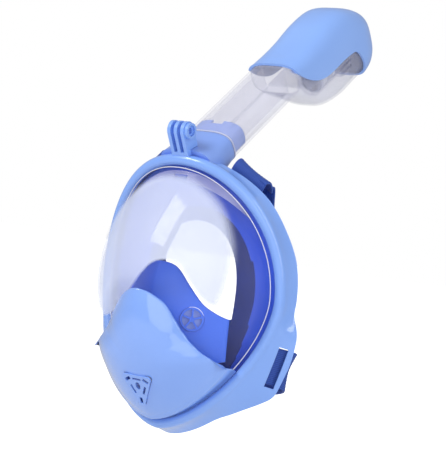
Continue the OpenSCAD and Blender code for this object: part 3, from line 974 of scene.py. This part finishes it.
@dataclass
class RimFrame(Assembly):
    """The blue frame with its bead, its wings and the parts that clamp the lens."""

    wall: float = 2.6
    edge_out: tuple[Pair, ...] = ((0, 14), (22, 14.2), (34, 21), (47, 31), (54, 28), (62, 26),
                                  (68, 23.5), (75, 20.8), (84, 11.2), (110, 11.9),
                                  (125, 11.2), (140, 12), (160, 9.5), (180, 9))
    edge_back: tuple[Pair, ...] = ((0, 20), (22, 20), (34, 22), (47, 24), (62, 20), (75, 17),
                                   (84, 16), (110, 18), (180, 15))
    edge_soft: float = 2.5
    bead: tuple[Pair, ...] = ((0.0, 2.6), (-0.05, 0.9), (0.25, -0.3), (1.1, -1.5), (2.4, -2.4),
                              (4.0, -2.9), (5.6, -2.9), (7.0, -2.3), (8.1, -1.2), (8.7, 0.0),
                              (8.95, 0.9), (9.1, 1.7))
    flank_steps: int = 10
    flank_sag: float = 0.9
    rear: tuple[Pair, ...] = ((-0.1, -0.7), (-0.5, -0.15), (-1.2, 0.0), (-1.9, -0.1),
                              (-2.4, -0.5))
    inside: tuple[Pair, ...] = ((6.3, 4.2), (5.6, 3.6), (2.0, 3.2))

    def edge(self, t: float) -> Pair:
        """How far out and back the rear edge lies.

        Args:
            t: Angle round the rim in radians.

        Returns:
            The distances out and back, read by the angle up from the chin on either side.
        """
        a = (math.degrees(t) + 450) % 360
        a = min(a, 360 - a)
        return (softened(a, self.edge_out, self.edge_soft),
                softened(a, self.edge_back, self.edge_soft))

    def section(self, t: float) -> list[Pair]:
        """Section of the frame's shell at an angle.

        Args:
            t: Angle round the rim in radians.

        Returns:
            The section as (off, dy) points.
        """
        out, back = self.edge(t)
        near_out, near_back = self.bead[-1]
        flank = []
        for k in range(1, self.flank_steps):
            u = k / self.flank_steps
            sag = self.flank_sag * math.sin(math.pi * u)
            flank.append((near_out + (out - near_out) * u - sag,
                          near_back + (back - near_back) * u))
        rear = [(out + a, back + b) for a, b in self.rear]
        return [*self.bead, *flank, *rear, (out - self.wall - 0.1, back - 1.2), *self.inside]

    def slot_tool(self, side: int) -> bpy.types.Object:
        """Solid that cuts the strap slot in one wing.

        Args:
            side: 1 for the wing at +X and -1 for the other.

        Returns:
            The solid.
        """
        place = Matrix.Translation(RIM.placed(SLOT.centre)) @ SLOT.turn
        if side < 0:
            place = Matrix.Scale(-1, 4, Vector((1, 0, 0))) @ place
        return box_tool(SLOT.size, place)

    def build(self) -> None:
        """Builds the frame and dresses what clamps the lens in it."""
        shell = rim_sweep("frame_shell", self.section, smooth=SOFT)
        cut(shell, [self.slot_tool(s) for s in (-1, 1)], smooth=SOFT)
        self.mount(shell, Body.MASK, Palette.FRAME, "frame_plastic", "frame")
        self.keep("lens_gasket", Palette.GASKET)
        self.keep("retaining_ring", Palette.FRAME, 0.4)
        self.keep("frame_screws", Palette.STEEL, 0.25)


@dataclass
class LensFront(Assembly):
    """The clear lens, the band behind its top, the chin cover and the chin valve."""

    wall: float = 2.2
    cover_gap: float = 2.4
    cover_wall: float = 2.2
    rim_gap: float = 1.4
    valve: Point = (0.0, -21.3, -76.3)
    valve_pitch: float = 32.0
    valve_hole: float = 11.2
    vent_w: float = 27.0
    vent_h: float = 29.0
    vent_round: float = 3.0
    vent_rise: float = 0.38
    # Place and size of a thin pale line round the lens's edge, a painted highlight.
    highlight_line_place: Pair = (-1.9, -3.2)
    highlight_line_size: Pair = (0.35, 0.45)
    lens_shares: tuple[float, ...] = (0.02, *(k / 40 for k in range(2, 38)), 0.94, 0.955, 0.97,
                                      0.98, 0.988, 0.994, 0.998)
    lens_flange: tuple[Pair, ...] = ((-0.4, 5.3), (5.0, 5.3), (5.0, 7.4), (-2.6, 7.4))
    cover_shares: tuple[float, ...] = (0.02, *(k / 20 for k in range(2, 19)), 0.93, 0.955,
                                       0.975)
    cover_foot: tuple[tuple[float, float, float, bool], ...] = (
        (0.5, -3.7, 0.4, True), (1.0, -3.0, 0.8, True), (1.1, -2.3, 1.1, True),
        (1.1, -2.6, 1.3, False), (0.8, -2.3, 1.5, False), (0.2, -2.3, 1.7, False),
        (0.1, -2.0, 1.9, True))
    foot_start: float = 12.0
    foot_run: float = 7.0
    lens_steps: int = 192
    cover_steps: int = 216

    def at_valve(self, p: Sequence[float]) -> Vector:
        """Moves a point from the chin valve's own frame to the object's frame."""
        turn = Matrix.Rotation(math.radians(90 + self.valve_pitch), 3, "X")
        return RIM.placed(turn @ Vector(p) + Vector(self.valve))

    def lens_ring(self, steps: int, rho: float, inset: float = 0.0) -> list[Vector]:
        """Ring of the lens's outside, or of its inside where it is inset.

        Args:
            steps: Points round the ring.
            rho: Its share of the way from the middle to the rim.
            inset: Thickness between the outside and this ring.

        Returns:
            The ring, placed.
        """
        out = []
        for j in range(steps):
            t = -2 * math.pi * j / steps
            r = RIM.radius(t, self.lens_flange[0][0]) * rho
            x, z = r * math.cos(t), r * math.sin(t)
            k = (r - inset * rho ** 3) / r
            out.append(RIM.placed((x * k, RIM.lens_y(x, z) + inset, z * k)))
        return out

    def lens_rows(self, steps: int) -> list[list[Vector]]:
        """Rings of the lens from its peak over the edge to its inside.

        Args:
            steps: Points round each ring.

        Returns:
            The rings, placed.
        """
        rows = [self.lens_ring(steps, rho) for rho in self.lens_shares]
        for off, dy in self.lens_flange:
            rows.append([RIM.placed(RIM.point(-2 * math.pi * j / steps, off, dy))
                         for j in range(steps)])
        return rows + [self.lens_ring(steps, rho, self.wall)
                       for rho in reversed(self.lens_shares)]

    def highlight_line_section(self) -> list[Pair]:
        """Section of the thin pale line round the lens's steep edge, a painted highlight."""
        (off, back), (wide, deep) = self.highlight_line_place, self.highlight_line_size
        return [(off + wide * x, back + deep * y) for x, y in circle(1.0, 8)]

    def rim_reach(self, phi: float) -> float:
        """Distance from the cover's middle to the rim, found by halving.

        Args:
            phi: Direction from the cover's middle, in radians.

        Returns:
            The distance.
        """
        low, high = 5.0, 130.0
        cx, cz = RIM.cover_centre
        for _ in range(24):
            mid = (low + high) / 2
            x, z = cx + mid * math.cos(phi), cz + mid * math.sin(phi)
            if math.hypot(x, z) > RIM.radius(math.atan2(z, x), -self.rim_gap):
                high = mid
            else:
                low = mid
        return (low + high) / 2

    def cover_reach(self, phi: float) -> float:
        """Distance from the cover's middle to its edge.

        Args:
            phi: Direction from the cover's middle, in radians.

        Returns:
            The distance: out to the rim below the middle, to the upper edge above it.
        """
        a = math.degrees(math.asin(math.sin(phi)))
        reach = self.rim_reach(phi)
        return reach if a < 3 else min(reach, softened(a, RIM.cover_edge, 2.5))

    @staticmethod
    def cover_place(phi: float, r: float) -> Pair:
        """Place across and up the lens at a direction and distance from the cover's middle."""
        return (RIM.cover_centre[0] + r * math.cos(phi), RIM.cover_centre[1] + r * math.sin(phi))

    def cover_ring(self, reach: Sequence[float], share: float, inset: float,
                   lift: float) -> list[Vector]:
        """Ring that floats over the lens.

        Args:
            reach: Distances to the cover's edge round the ring.
            share: The ring's share of those distances.
            inset: How far inside that it lies.
            lift: Height over the lens.

        Returns:
            The ring, placed.
        """
        out = []
        for j, far in enumerate(reach):
            x, z = self.cover_place(-2 * math.pi * j / len(reach), far * share - inset)
            out.append(RIM.placed((x, RIM.lens_y(x, z) - lift, z)))
        return out

    def foot_ring(self, reach: Sequence[float], off: float, drop: float, lift: float,
                  at_lens: bool) -> list[Vector]:
        """Ring of the cover's edge, which steps down to the rim below its middle.

        Args:
            reach: Distances to the cover's edge round the ring.
            off: How far off the rim the lower part ends.
            drop: How far back it ends.
            lift: Height over the lens of the upper part.
            at_lens: True to measure drop from the lens rather than from the rim.

        Returns:
            The ring, placed.
        """
        out = []
        for j, far in enumerate(reach):
            phi = -2 * math.pi * j / len(reach)
            rise = math.degrees(math.asin(math.sin(phi)))
            share = min(1.0, max(0.0, (self.foot_start - rise) / self.foot_run))
            x, z = self.cover_place(phi, far)
            start = Vector((x, RIM.lens_y(x, z) - lift, z))
            end = Vector(RIM.point(math.atan2(z, x), off, drop))
            if at_lens:
                end.y = RIM.lens_y(x, z) + drop
            across, down = min(1.0, 4 * share), max(0.0, 2 * share - 1)
            out.append(RIM.placed((start.x + across * (end.x - start.x),
                                   start.y + down * (end.y - start.y),
                                   start.z + across * (end.z - start.z))))
        return out

    def cover_rows(self, steps: int) -> list[list[Vector]]:
        """Rings of the chin cover, front first, with a rounded edge.

        Args:
            steps: Points round each ring.

        Returns:
            The rings, placed.
        """
        reach = [self.cover_reach(-2 * math.pi * j / steps) for j in range(steps)]
        gap, top = self.cover_gap, self.cover_gap + self.cover_wall
        rows = [self.cover_ring(reach, s, 0, top) for s in self.cover_shares]
        rows += [self.cover_ring(reach, 1, 0.9, top), self.cover_ring(reach, 1, 0.3, top - 0.12)]
        rows += [self.foot_ring(reach, off, drop, top - sink, at_lens)
                 for off, drop, sink, at_lens in self.cover_foot]
        rows.append(self.cover_ring(reach, 1, 0.5, gap))
        return rows + [self.cover_ring(reach, s, 0, gap) for s in reversed(self.cover_shares)]

    def vent_outline(self) -> list[Pair]:
        """Rounded triangle of the vent, in the valve's frame.

        Returns:
            The outline's points.
        """
        r, wide = self.vent_round, self.vent_w / 2
        high, low = self.vent_h * self.vent_rise, self.vent_h * (1 - self.vent_rise)
        out = []
        for x, y, start in ((wide - r, high - r, -30), (r - wide, high - r, 90),
                            (0.0, r - low, 210)):
            for k in range(9):
                t = math.radians(start + 15 * k)
                out.append((x + r * math.cos(t), y + r * math.sin(t)))
        return out

    def valve_cut(self, outline: Sequence[Pair]) -> bpy.types.Object:
        """Prism through the lens and the cover at the chin valve."""
        return prism_tool(outline, -CUT_REACH, CUT_REACH, self.at_valve)

    def build(self) -> None:
        """Builds the lens and its cover and dresses the small parts round them."""
        lens = finish_mesh("lens_shell", loft(self.lens_rows(self.lens_steps)), CRISP)
        cut(lens, [self.valve_cut(circle(self.valve_hole, 64))], smooth=CRISP)
        self.mount(lens, Body.MASK, Palette.LENS, "clear_lens", "lens")
        # Painted highlight: a thin pale sweep in the white finish round the lens's steep edge.
        highlight_line = rim_sweep("lens_edge_step", lambda _: self.highlight_line_section(), smooth=60)
        self.mount(highlight_line, Body.MASK, Palette.WHITE, "clear_lens")
        cover = finish_mesh("chin_cover_shell", loft(self.cover_rows(self.cover_steps)), SOFT)
        cut(cover, [self.valve_cut(self.vent_outline())], folded=True, smooth=SOFT)
        self.mount(cover, Body.MASK, Palette.COVER, "cover_plastic", "chin_cover")
        self.keep("vent_grille", Palette.COVER, 0.35)
        self.keep("brow_band", Palette.BROW, 0.2)
        self.keep("chin_valve_seat", Palette.WHITE, 0.2)
        self.keep("chin_valve_flap", Palette.FLAP, 0.15)


@dataclass
class Skirt(Assembly):
    """The soft skirt that seals on the face and the nose pocket with its valves."""

    eye_half_w: float = 42.0
    eye_top: float = 55.0
    eye_bottom: float = 84.0
    eye_back: float = 32.0
    eye_power: float = 2.2
    roll_back: float = 10.0
    thick: float = 2.2
    stations: int = 24
    rim_steps: int = 240
    # Width of the band of painted shade round the face opening.
    lip_shade_band: float = 11.0
    clamp: tuple[Pair, ...] = ((5.0, 7.7), (5.0, 10.6))
    clamp_in: float = 3.2
    clamp_back: float = 8.0
    pocket_half_w: float = 52.0
    pocket_front: float = -24.0
    pocket_tip_z: float = -18.0
    pocket_curve: float = 0.0045
    pocket_sweep: float = 34.0
    pocket_low: float = -62.0
    pocket_columns: int = 90
    pocket_steps: int = 30
    pocket_edge: tuple[Pair, ...] = ((0, 21), (9, 20), (15, 16.5), (25, 3.5), (35, -9.5),
                                     (44, -15.5), (52, -19))
    seat: Point = (30.0, -7.5, -21.5)
    seat_yaw: float = 38.0
    seat_hole: float = 9.7
    seat_cut: float = 8.0

    def eye_radius(self, t: float) -> float:
        """Distance from the origin to the edge of the face opening."""
        height = self.eye_top if math.sin(t) >= 0 else self.eye_bottom
        return (abs(math.cos(t) / self.eye_half_w) ** self.eye_power
                + abs(math.sin(t) / height) ** self.eye_power) ** (-1 / self.eye_power)

    def point(self, t: float, s: float, back: float) -> Point:
        """A point on the skirt.

        Args:
            t: Angle round the rim in radians.
            s: Share of the way from the clamp to the face opening.
            back: How far behind the front surface.

        Returns:
            The point, in the rim's measure.
        """
        outer = RIM.radius(t, -self.clamp_in)
        r = outer + (self.eye_radius(t) - outer) * s
        flat = (RIM.rim_y(t) + self.clamp_back) * (1 - s) + self.eye_back * s
        return r * math.cos(t), flat + self.roll_back * math.sin(math.pi * s) + back, r * math.sin(t)

    def skirt_rows(self, steps: int) -> list[list[Vector]]:
        """Sections of the skirt round the rim.

        Args:
            steps: Stations round the rim.

        Returns:
            The sections, placed.
        """
        stations = [k / self.stations for k in range(self.stations + 1)]
        rows = []
        for i in range(steps):
            t = 2 * math.pi * i / steps
            row = [self.point(t, s, 0) for s in reversed(stations)]
            row += [RIM.point(t, off, dy) for off, dy in self.clamp]
            row += [self.point(t, s, self.thick) for s in stations]
            rows.append([RIM.placed(p) for p in row])
        return rows

    def pocket_y(self, x: float, z: float) -> float:
        """Front of the nose pocket.

        Args:
            x: Place across the pocket.
            z: Place up the pocket.

        Returns:
            How far back its front lies.
        """
        above = z - self.pocket_tip_z
        rise = self.pocket_curve * above ** 2 * (1.0 if above > 0 else 0.3)
        sweep = self.pocket_sweep * abs(x / self.pocket_half_w) ** 1.35
        return self.pocket_front + sweep + rise

    def pocket_side(self, x: float, back: float, down: bool) -> list[Point]:
        """One column of the nose pocket's front or back surface.

        Args:
            x: The column's place.
            back: How far behind the front surface.
            down: True to run from the top to the bottom.

        Returns:
            The column's points.
        """
        high = softened(abs(x), self.pocket_edge, 3.0)
        low = self.pocket_low + 10 * (x / self.pocket_half_w) ** 2
        shares = [k / self.pocket_steps for k in range(self.pocket_steps + 1)]
        if not down:
            shares.reverse()
        return [(x, self.pocket_y(x, high + (low - high) * f) + back, high + (low - high) * f)
                for f in shares]

    def at_seat(self, side: int) -> Callable[[Sequence[float]], Vector]:
        """Gives the mover from one valve seat's own frame to the object's frame.

        Args:
            side: 1 for the right seat in the front view and -1 for the left.

        Returns:
            The mover.
        """
        turn = (Matrix.Rotation(math.radians(self.seat_yaw), 3, "Z")
                @ Matrix.Rotation(math.radians(90), 3, "X"))

        def place(p: Sequence[float]) -> Vector:
            """Moves one point."""
            x, y, z = turn @ Vector(p) + Vector(self.seat)
            return RIM.placed((x * side, y, z))

        return place

    def build_skirt(self) -> None:
        """Builds the skirt, with a darker band of painted shade on the lip round the face opening.
        """
        rows = self.skirt_rows(self.rim_steps)
        skirt = finish_mesh("skirt_shell", loft(rows, closed=True), SOFT)
        self.mount(skirt, Body.MASK, Palette.SILICONE, "silicone_blue", "skirt")
        # Painted shade: faces near the face opening take the dark lip finish.
        skirt.data.materials.append(Palette.LIP_SHADE.material())
        for face in skirt.data.polygons:
            x, z = face.center.x / MM, face.center.z / MM
            if math.hypot(x, z) < self.eye_radius(math.atan2(z, x)) + self.lip_shade_band:
                face.material_index = 1

    def build_pocket(self) -> None:
        """Builds the nose pocket with a hole for each inhale valve."""
        rows = []
        for i in range(self.pocket_columns + 1):
            x = self.pocket_half_w * (2 * i / self.pocket_columns - 1)
            column = self.pocket_side(x, 0, True) + self.pocket_side(x, self.thick, False)
            rows.append([RIM.placed(p) for p in column])
        pocket = finish_mesh("nose_pocket_shell", loft(rows), SOFT)
        hole = circle(self.seat_hole, 48)
        cut(pocket, [prism_tool(hole, -self.seat_cut, self.seat_cut, self.at_seat(s))
                     for s in (-1, 1)], smooth=SOFT)
        self.mount(pocket, Body.MASK, Palette.POCKET, "silicone_blue", "nose_pocket")

    def build(self) -> None:
        """Builds the skirt and the nose pocket and dresses the valves."""
        self.build_skirt()
        self.build_pocket()
        for side in ("left", "right"):
            self.keep(f"inhale_seat_{side}", Palette.POCKET, 0.25)
            self.keep(f"inhale_flap_{side}", Palette.FLAP, 0.15)


@dataclass
class CameraMount(Assembly):
    """The three fins that take an action camera."""

    rounding: float = 0.7

    def build(self) -> None:
        """Rounds and dresses the fins."""
        self.keep("camera_mount", Palette.FRAME, self.rounding)


@dataclass
class Snorkel(Assembly):
    """The socket, the clear tube and the dry top with its float."""

    half_w: float = 24.0
    half_d: float = 14.0
    wall: float = 1.8
    seat_z: float = 4.5
    spigot_z: float = 24.0
    spigot_gap: float = 0.25
    channel_walls: Pair = (9.5, 10.9)
    tube_steps: int = 12
    past: float = 5.0
    socket_base: float = -29.0
    notch: Point = (11.0, 12.0, 10.0)
    flare: tuple[tuple[float, float, float, float], ...] = (
        (0.3, 2.7, 0, -30), (1.5, 1.5, 0.8, -21), (1.5, 0.8, 0.8, -16), (1.2, 0.5, 0.6, -12),
        (0.5, 0.15, 0.3, -6), (0, 0, 0, 0), (0, 0, 0, 1.8), (-0.4, -0.4, 0, 2.4))
    flare_gap: float = 0.3
    tube_length: float = 107.0
    top_length: float = 136.0
    top_rows: tuple[tuple[float, float, float, float], ...] = (
        (0, 24, 14, 0), (4, 24, 16.4, 2.4), (10, 24.1, 19.1, 4.8), (18, 24.3, 22.4, 7.9),
        (38, 24.7, 31.2, 15), (64, 25, 36.2, 16.9), (90, 24.9, 35.8, 17.8),
        (110, 23.9, 31, 21.9), (122, 20.8, 25.4, 24.2), (130.5, 15.6, 18.8, 25.4),
        (136, 8.5, 11, 25))
    cap_wall: float = 2.0
    cap_edge: tuple[Pair, ...] = (
        (-40, 92), (-19, 104), (-6, 113.5), (4, 124), (11, 135), (15, 147), (16.5, 160),
        (16.5, 182), (18.3, 199), (21.5, 205), (27, 209.5), (36, 214), (60, 223))
    fit: float = 0.2
    cap_floor: float = 80.0
    inlet_y: float = 23.0
    inlet_z: float = 184.0
    inlet_slit: Point = (80.0, 2.4, 22.0)
    inlet_pitch: float = 5.0

    @property
    def top_z(self) -> float:
        """Height of the dry top's lower end along the axis."""
        return self.seat_z + self.tube_length + self.fit

    def body_rows(self, grow: float) -> list[list[Vector]]:
        """Rings of the dry top's outer shape, grown evenly.

        Args:
            grow: Distance outside the housing.

        Returns:
            The rings, placed.
        """
        def ring(h: float, a: float, b: float, c: float) -> list[Vector]:
            """Ring at a height of half width a and half depth b, with its middle at c."""
            z = self.top_z + h * (1 + grow / self.top_length)
            return [AXIS.placed((x, y, z)) for x, y in oblong(a, b, c)]

        rows = [ring(h, a + grow, b + grow, c)
                for h, a, b, c in smooth_path([Vector(r) for r in self.top_rows], 6)]
        h, a, b, c = self.top_rows[-1]
        for rise, share in ((0.1, 0.7), (0.2, 0.35)):
            rows.append(ring(h + rise, (a + grow) * share, (b + grow) * share, c))
        return rows

    def bar(self, a: float, b: float, low: float, high: float) -> bpy.types.Object:
        """Straight oblong bar along the axis, used for cutting."""
        return prism_tool(oblong(a, b), low, high, AXIS.placed)

    def local_box(self, size: Point, centre: Point) -> bpy.types.Object:
        """Box in the snorkel's own frame, used for cutting."""
        turn = Matrix.Rotation(math.radians(-AXIS.tilt), 4, "X")
        return box_tool(size, Matrix.Translation(AXIS.placed(centre)) @ turn)

    def build_tube(self) -> None:
        """Builds the tube with its three channels."""
        rows = []
        low, high = self.seat_z, self.seat_z + self.tube_length
        for k in range(self.tube_steps + 1):
            z = low + (high - low) * k / self.tube_steps
            rows.append([AXIS.placed((x, y, z)) for x, y in oblong(self.half_w, self.half_d)])
        tube = finish_mesh("snorkel_tube_shell", loft(rows), CRISP)
        a, b = self.half_w - self.wall, self.half_d - self.wall
        tools = [self.bar(a, b, low - self.past, self.spigot_z + 1.5)]
        loop = oblong(a, b)
        inner, outer = self.channel_walls
        channels = [[(max(-inner, min(inner, x)), y) for x, y in loop]]
        for s in (-1, 1):
            channels.append([(s * max(outer, s * x), y) for x, y in loop if s * x > outer])
        tools += [prism_tool(self.tidy(c), self.spigot_z, high + self.past, AXIS.placed)
                  for c in channels]
        cut(tube, tools, smooth=CRISP)
        self.mount(tube, Body.SNORKEL, Palette.TUBE, "clear_tube", "snorkel_tube")

    @staticmethod
    def tidy(loop: list[Pair]) -> list[Pair]:
        """Drops points of a loop that repeat the one before.

        Args:
            loop: The loop.

        Returns:
            The loop without them.
        """
        out: list[Pair] = []
        for p in loop:
            if not out or math.dist(p, out[-1]) > 0.05:
                out.append(p)
        return out

    def build_socket(self) -> None:
        """Builds the socket that flares out of the frame, with its notched spigot."""
        a, b = (half - self.wall - self.spigot_gap for half in (self.half_w, self.half_d))
        w, d = self.half_w + self.flare_gap, self.half_d + self.flare_gap
        foot, top = self.flare[-1][3], self.spigot_z
        shape = [(w + wide, d + deep, c, z) for wide, deep, c, z in self.flare]
        shape += [(a, b, 0, foot), (a, b, 0, top - 0.6), (a - 0.6, b - 0.6, 0, top)]
        rows = [[AXIS.placed((x, y, z)) for x, y in oblong(*size)] for *size, z in shape]
        socket = finish_mesh("snorkel_socket_shell", loft(rows), SHARP)
        hollow = self.bar(a - self.wall, b - self.wall, self.socket_base, top + self.past)
        notch = self.local_box(self.notch, (0, -self.half_d, top))
        cut(socket, [hollow, notch], smooth=SHARP)
        self.mount(socket, Body.MASK, Palette.SOCKET, "socket_plastic", "snorkel_socket")
        self.keep("socket_seal", Palette.SEAL, 0.3)

    def build_dry_top(self) -> None:
        """Builds the clear housing and the blue cap over it."""
        housing = finish_mesh("dry_top_housing_shell", loft(self.body_rows(0)), CRISP)
        inside = finish_mesh("tool", loft(self.body_rows(-self.wall)), CRISP)
        floor = self.bar(self.half_w - self.wall, self.half_d - self.wall,
                         self.top_z - 3, self.top_z + 12)
        slits = [self.local_box(self.inlet_slit,
                                (0, self.inlet_y + self.inlet_pitch * k, self.inlet_z))
                 for k in (-1, 0, 1)]
        cut(housing, [inside, floor, *slits], smooth=CRISP)
        self.mount(housing, Body.SNORKEL, Palette.HOUSING, "clear_tube", "dry_top_housing")
        cap = finish_mesh("dry_top_cap_shell",
                          loft(self.body_rows(self.cap_wall + self.fit)), CRISP)
        hollow = finish_mesh("tool", loft(self.body_rows(self.fit)), CRISP)
        edge = smooth_path([Vector((0, y, z)) for y, z in self.cap_edge], 6)
        ends = [(self.cap_edge[k][0], self.cap_floor) for k in (-1, 0)]
        outline = [(p.y, p.z) for p in edge] + ends
        below = prism_tool(outline, -60, 60, lambda p: AXIS.placed((p[2], p[0], p[1])))
        cut(cap, [below, hollow], smooth=CRISP)
        self.mount(cap, Body.SNORKEL, Palette.CAP, "frame_plastic", "dry_top_cap")

    def build(self) -> None:
        """Builds the snorkel from the socket up and dresses its inner parts."""
        self.build_socket()
        self.build_tube()
        self.build_dry_top()
        self.keep("valve_plate", Palette.HOUSING, 0.3)
        self.keep("float_guide", Palette.HOUSING, 0.2)
        self.keep("float_cup", Palette.WHITE, 0.3)
        self.keep("float_seal", Palette.FLAP, 0.2)
        for side in ("left", "right"):
            self.keep(f"exhaust_flap_{side}", Palette.FLAP, 0.15)


@dataclass
class Harness(Assembly):
    """The elastic head straps and the hub that joins them behind the head."""

    width: float = 31.0
    thick: float = 2.0
    ribs: int = 12
    steps: int = 10
    loop_angles: tuple[float, float, float] = (55.5, 63.7, 72.0)
    loop_place: Pair = (11.0, 16.0)
    edge_turn: tuple[Pair, ...] = ((4, 14.6), (4.6, 18), (8, 19.6), (12.5, 19.9), (15.2, 21.2),
                                   (16, 24), (14.6, 28), (10, 34), (5, 39))
    upper_route: tuple[tuple[Point, Point], ...] = (
        ((44, 50, 62), (1, 0, 0.1)), ((57, 57.5, 24), (0.9, 0.4, 0)),
        ((54, 66, -8), (1, 0.1, -0.3)), ((42, 73, -29), (0.75, 0, -0.75)),
        ((26, 73, -36), (0.5, 0, -0.85)), ((12, 73, -40), (0.3, 0, -0.95)))
    slot_pass: tuple[Pair, ...] = ((-7.5, -4.2), (0, -4.1), (9, -4.3))
    lower_route: tuple[tuple[Point, Point], ...] = (
        ((84.5, 55, -56), (0.15, 0, 1)), ((72, 64, -60), (0, 0, 1)),
        ((50, 70.5, -65), (0, 0, 1)), ((30, 74, -70), (0, 0, 1)))

    def strap(self, node: str, route: Sequence[tuple[Sequence[float], Sequence[float]]],
              flip: bool) -> None:
        """Builds one strap along a smooth route, with rounded selvedges.

        Args:
            node: The node that it replaces.
            route: Points along its middle, each with the direction of its width there.
            flip: True to mirror it to the other side.
        """
        middle = smooth_path([Vector(p) for p, _ in route], self.steps)
        across = smooth_path([Vector(s).normalized() for _, s in route], self.steps)
        rows = []
        for i, p in enumerate(middle):
            ahead = (middle[min(i + 1, len(middle) - 1)] - middle[max(i - 1, 0)]).normalized()
            side = (across[i] - ahead * across[i].dot(ahead)).normalized()
            up = ahead.cross(side)
            row = []
            for share, lift in self.outline():
                q = p + side * share * self.width / 2 + up * lift * self.thick / 2
                row.append(RIM.placed((-q.x if flip else q.x, q.y, q.z)))
            rows.append(row)
        obj = finish_mesh(f"{node}_webbing", loft(rows, uv_scale=(1.0, 1.0)), 60)
        self.mount(obj, Body.MASK, Palette.STRAP, "strap_fabric", node)

    def outline(self) -> list[Pair]:
        """Section of the webbing: flat faces with ribs and rounded selvedges.

        Returns:
            The section as shares of the half width and the half thickness.
        """
        low = [(-0.97 + 1.94 * k / (2 * self.ribs), -1.0 if k % 2 else -0.8)
               for k in range(2 * self.ribs + 1)]
        return [(-1.0, 0.0), (-0.99, -0.6), *low, (0.99, -0.6), (1.0, 0.0), (0.99, 0.6),
                *[(x, -y) for x, y in reversed(low)], (-0.99, 0.6)]

    def build(self) -> None:
        """Builds the four straps and the hub."""
        start, middle, end = (math.radians(a) for a in self.loop_angles)
        along = (Vector(RIM.point(start, *self.loop_place))
                 - Vector(RIM.point(end, *self.loop_place)))
        upper = [(RIM.point(middle, off, back), along) for off, back in self.edge_turn]
        upper += self.upper_route
        slot_side = SLOT.turn @ Vector((0, 0, 1))
        lower = [(SLOT.beside(across, out), slot_side) for across, out in self.slot_pass]
        lower += self.lower_route
        for side, flip in (("left", True), ("right", False)):
            self.strap(f"strap_upper_{side}", upper, flip)
            self.strap(f"strap_lower_{side}", lower, flip)
        self.keep("strap_pad", Palette.HUB, 0.8)


# ---------------------------------------------------------------- studio


def direction(azimuth: float, elevation: float) -> Vector:
    """Direction from the mask at angles round it and above the horizon, in degrees."""
    a, e = math.radians(azimuth), math.radians(elevation)
    return Vector((math.sin(a) * math.cos(e), -math.cos(a) * math.cos(e), math.sin(e)))


@dataclass(frozen=True)
class Lamp:
    """A soft light: direction in degrees, distance and size in metres, power in watts."""

    name: str
    azimuth: float
    elevation: float
    distance: float
    size: Pair
    power: float

    def build(self) -> None:
        """Adds the light, facing the mask."""
        data = bpy.data.lights.new(self.name, "AREA")
        data.shape = "RECTANGLE"
        data.size, data.size_y = self.size
        data.energy = self.power
        light = bpy.data.objects.new(self.name, data)
        back = direction(self.azimuth, self.elevation)
        light.location = Vector((0, -0.02, 0.02)) + back * self.distance
        light.rotation_euler = back.to_track_quat("Z", "Y").to_euler()
        bpy.context.scene.collection.objects.link(light)


@dataclass
class Studio:
    """The camera, the lights and the floor."""

    azimuth: float = 33.0
    elevation: float = 1.0
    roll: float = -7.0
    distance: float = 1400.0
    lens_mm: float = 141.3
    aim_right: float = 42.5
    aim_up: float = 49.3
    floor_z: float = -0.30
    sky: float = 0.44
    lamps: tuple[Lamp, ...] = (Lamp("key", -25, 40, 1.5, (0.5, 0.7), 12),
                               Lamp("fill", 85, 22, 1.7, (0.35, 1.3), 8),
                               Lamp("front", 33, 10, 2.0, (1.2, 1.2), 6))

    def axes(self) -> tuple[Vector, Vector, Vector]:
        """The camera's own directions.

        Returns:
            Its right, up and backward directions.
        """
        a, r = math.radians(self.azimuth), math.radians(self.roll)
        back = direction(self.azimuth, self.elevation)
        right = Vector((math.cos(a), math.sin(a), 0))
        up = back.cross(right)
        return (right * math.cos(r) - up * math.sin(r), right * math.sin(r) + up * math.cos(r),
                back)

    def camera(self) -> None:
        """Places the camera so that the mask leans as it was shown."""
        right, up, back = self.axes()
        data = bpy.data.cameras.new("camera")
        data.lens = self.lens_mm
        data.sensor_width = 36.0
        data.clip_end = 20.0
        cam = bpy.data.objects.new("camera", data)
        target = RIM.placed((0, 0, 0)) + (right * self.aim_right + up * self.aim_up) * MM
        place = Matrix((right, up, back)).transposed().to_4x4()
        place.translation = target + back * self.distance * MM
        cam.matrix_world = place
        bpy.context.scene.collection.objects.link(cam)
        bpy.context.scene.camera = cam

    def floor(self) -> None:
        """Lays a pale floor under the mask."""
        mesh = bmesh.new()
        bmesh.ops.create_grid(mesh, x_segments=8, y_segments=8, size=8.0)
        obj = finish_mesh("studio_floor", mesh, 30)
        obj.location.z = self.floor_z
        Palette.FLOOR.dress(obj)

    def surround(self) -> None:
        """Lights the mask softly from all round, before plain white."""
        world = bpy.data.worlds.new("studio")
        bpy.context.scene.world = world
        world.use_nodes = True
        tree = world.node_tree
        soft, seen = tree.nodes["Background"], tree.nodes.new("ShaderNodeBackground")
        for node, strength in ((soft, self.sky), (seen, 1.0)):
            node.inputs["Color"].default_value = (1.0, 1.0, 1.0, 1.0)
            node.inputs["Strength"].default_value = strength
        path = tree.nodes.new("ShaderNodeLightPath")
        choose = tree.nodes.new("ShaderNodeMixShader")
        for source, target in zip((path.outputs["Is Camera Ray"], soft.outputs[0],
                                   seen.outputs[0]), choose.inputs):
            tree.links.new(source, target)
        tree.links.new(choose.outputs[0], tree.nodes["World Output"].inputs["Surface"])

    def build(self) -> None:
        """Sets up the whole studio."""
        bpy.context.scene.view_settings.view_transform = "Standard"
        self.surround()
        self.camera()
        for lamp in self.lamps:
            lamp.build()
        self.floor()


def main() -> None:
    """Builds the mask piece by piece in its studio."""
    logging.basicConfig(level=logging.INFO, format="%(name)s: %(message)s")
    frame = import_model()
    for assembly in (RimFrame, LensFront, Skirt, CameraMount, Snorkel, Harness):
        LOG.info("building %s", assembly.__name__)
        assembly(frame).build()
    Studio().build()


if __name__ == "__main__":
    main()
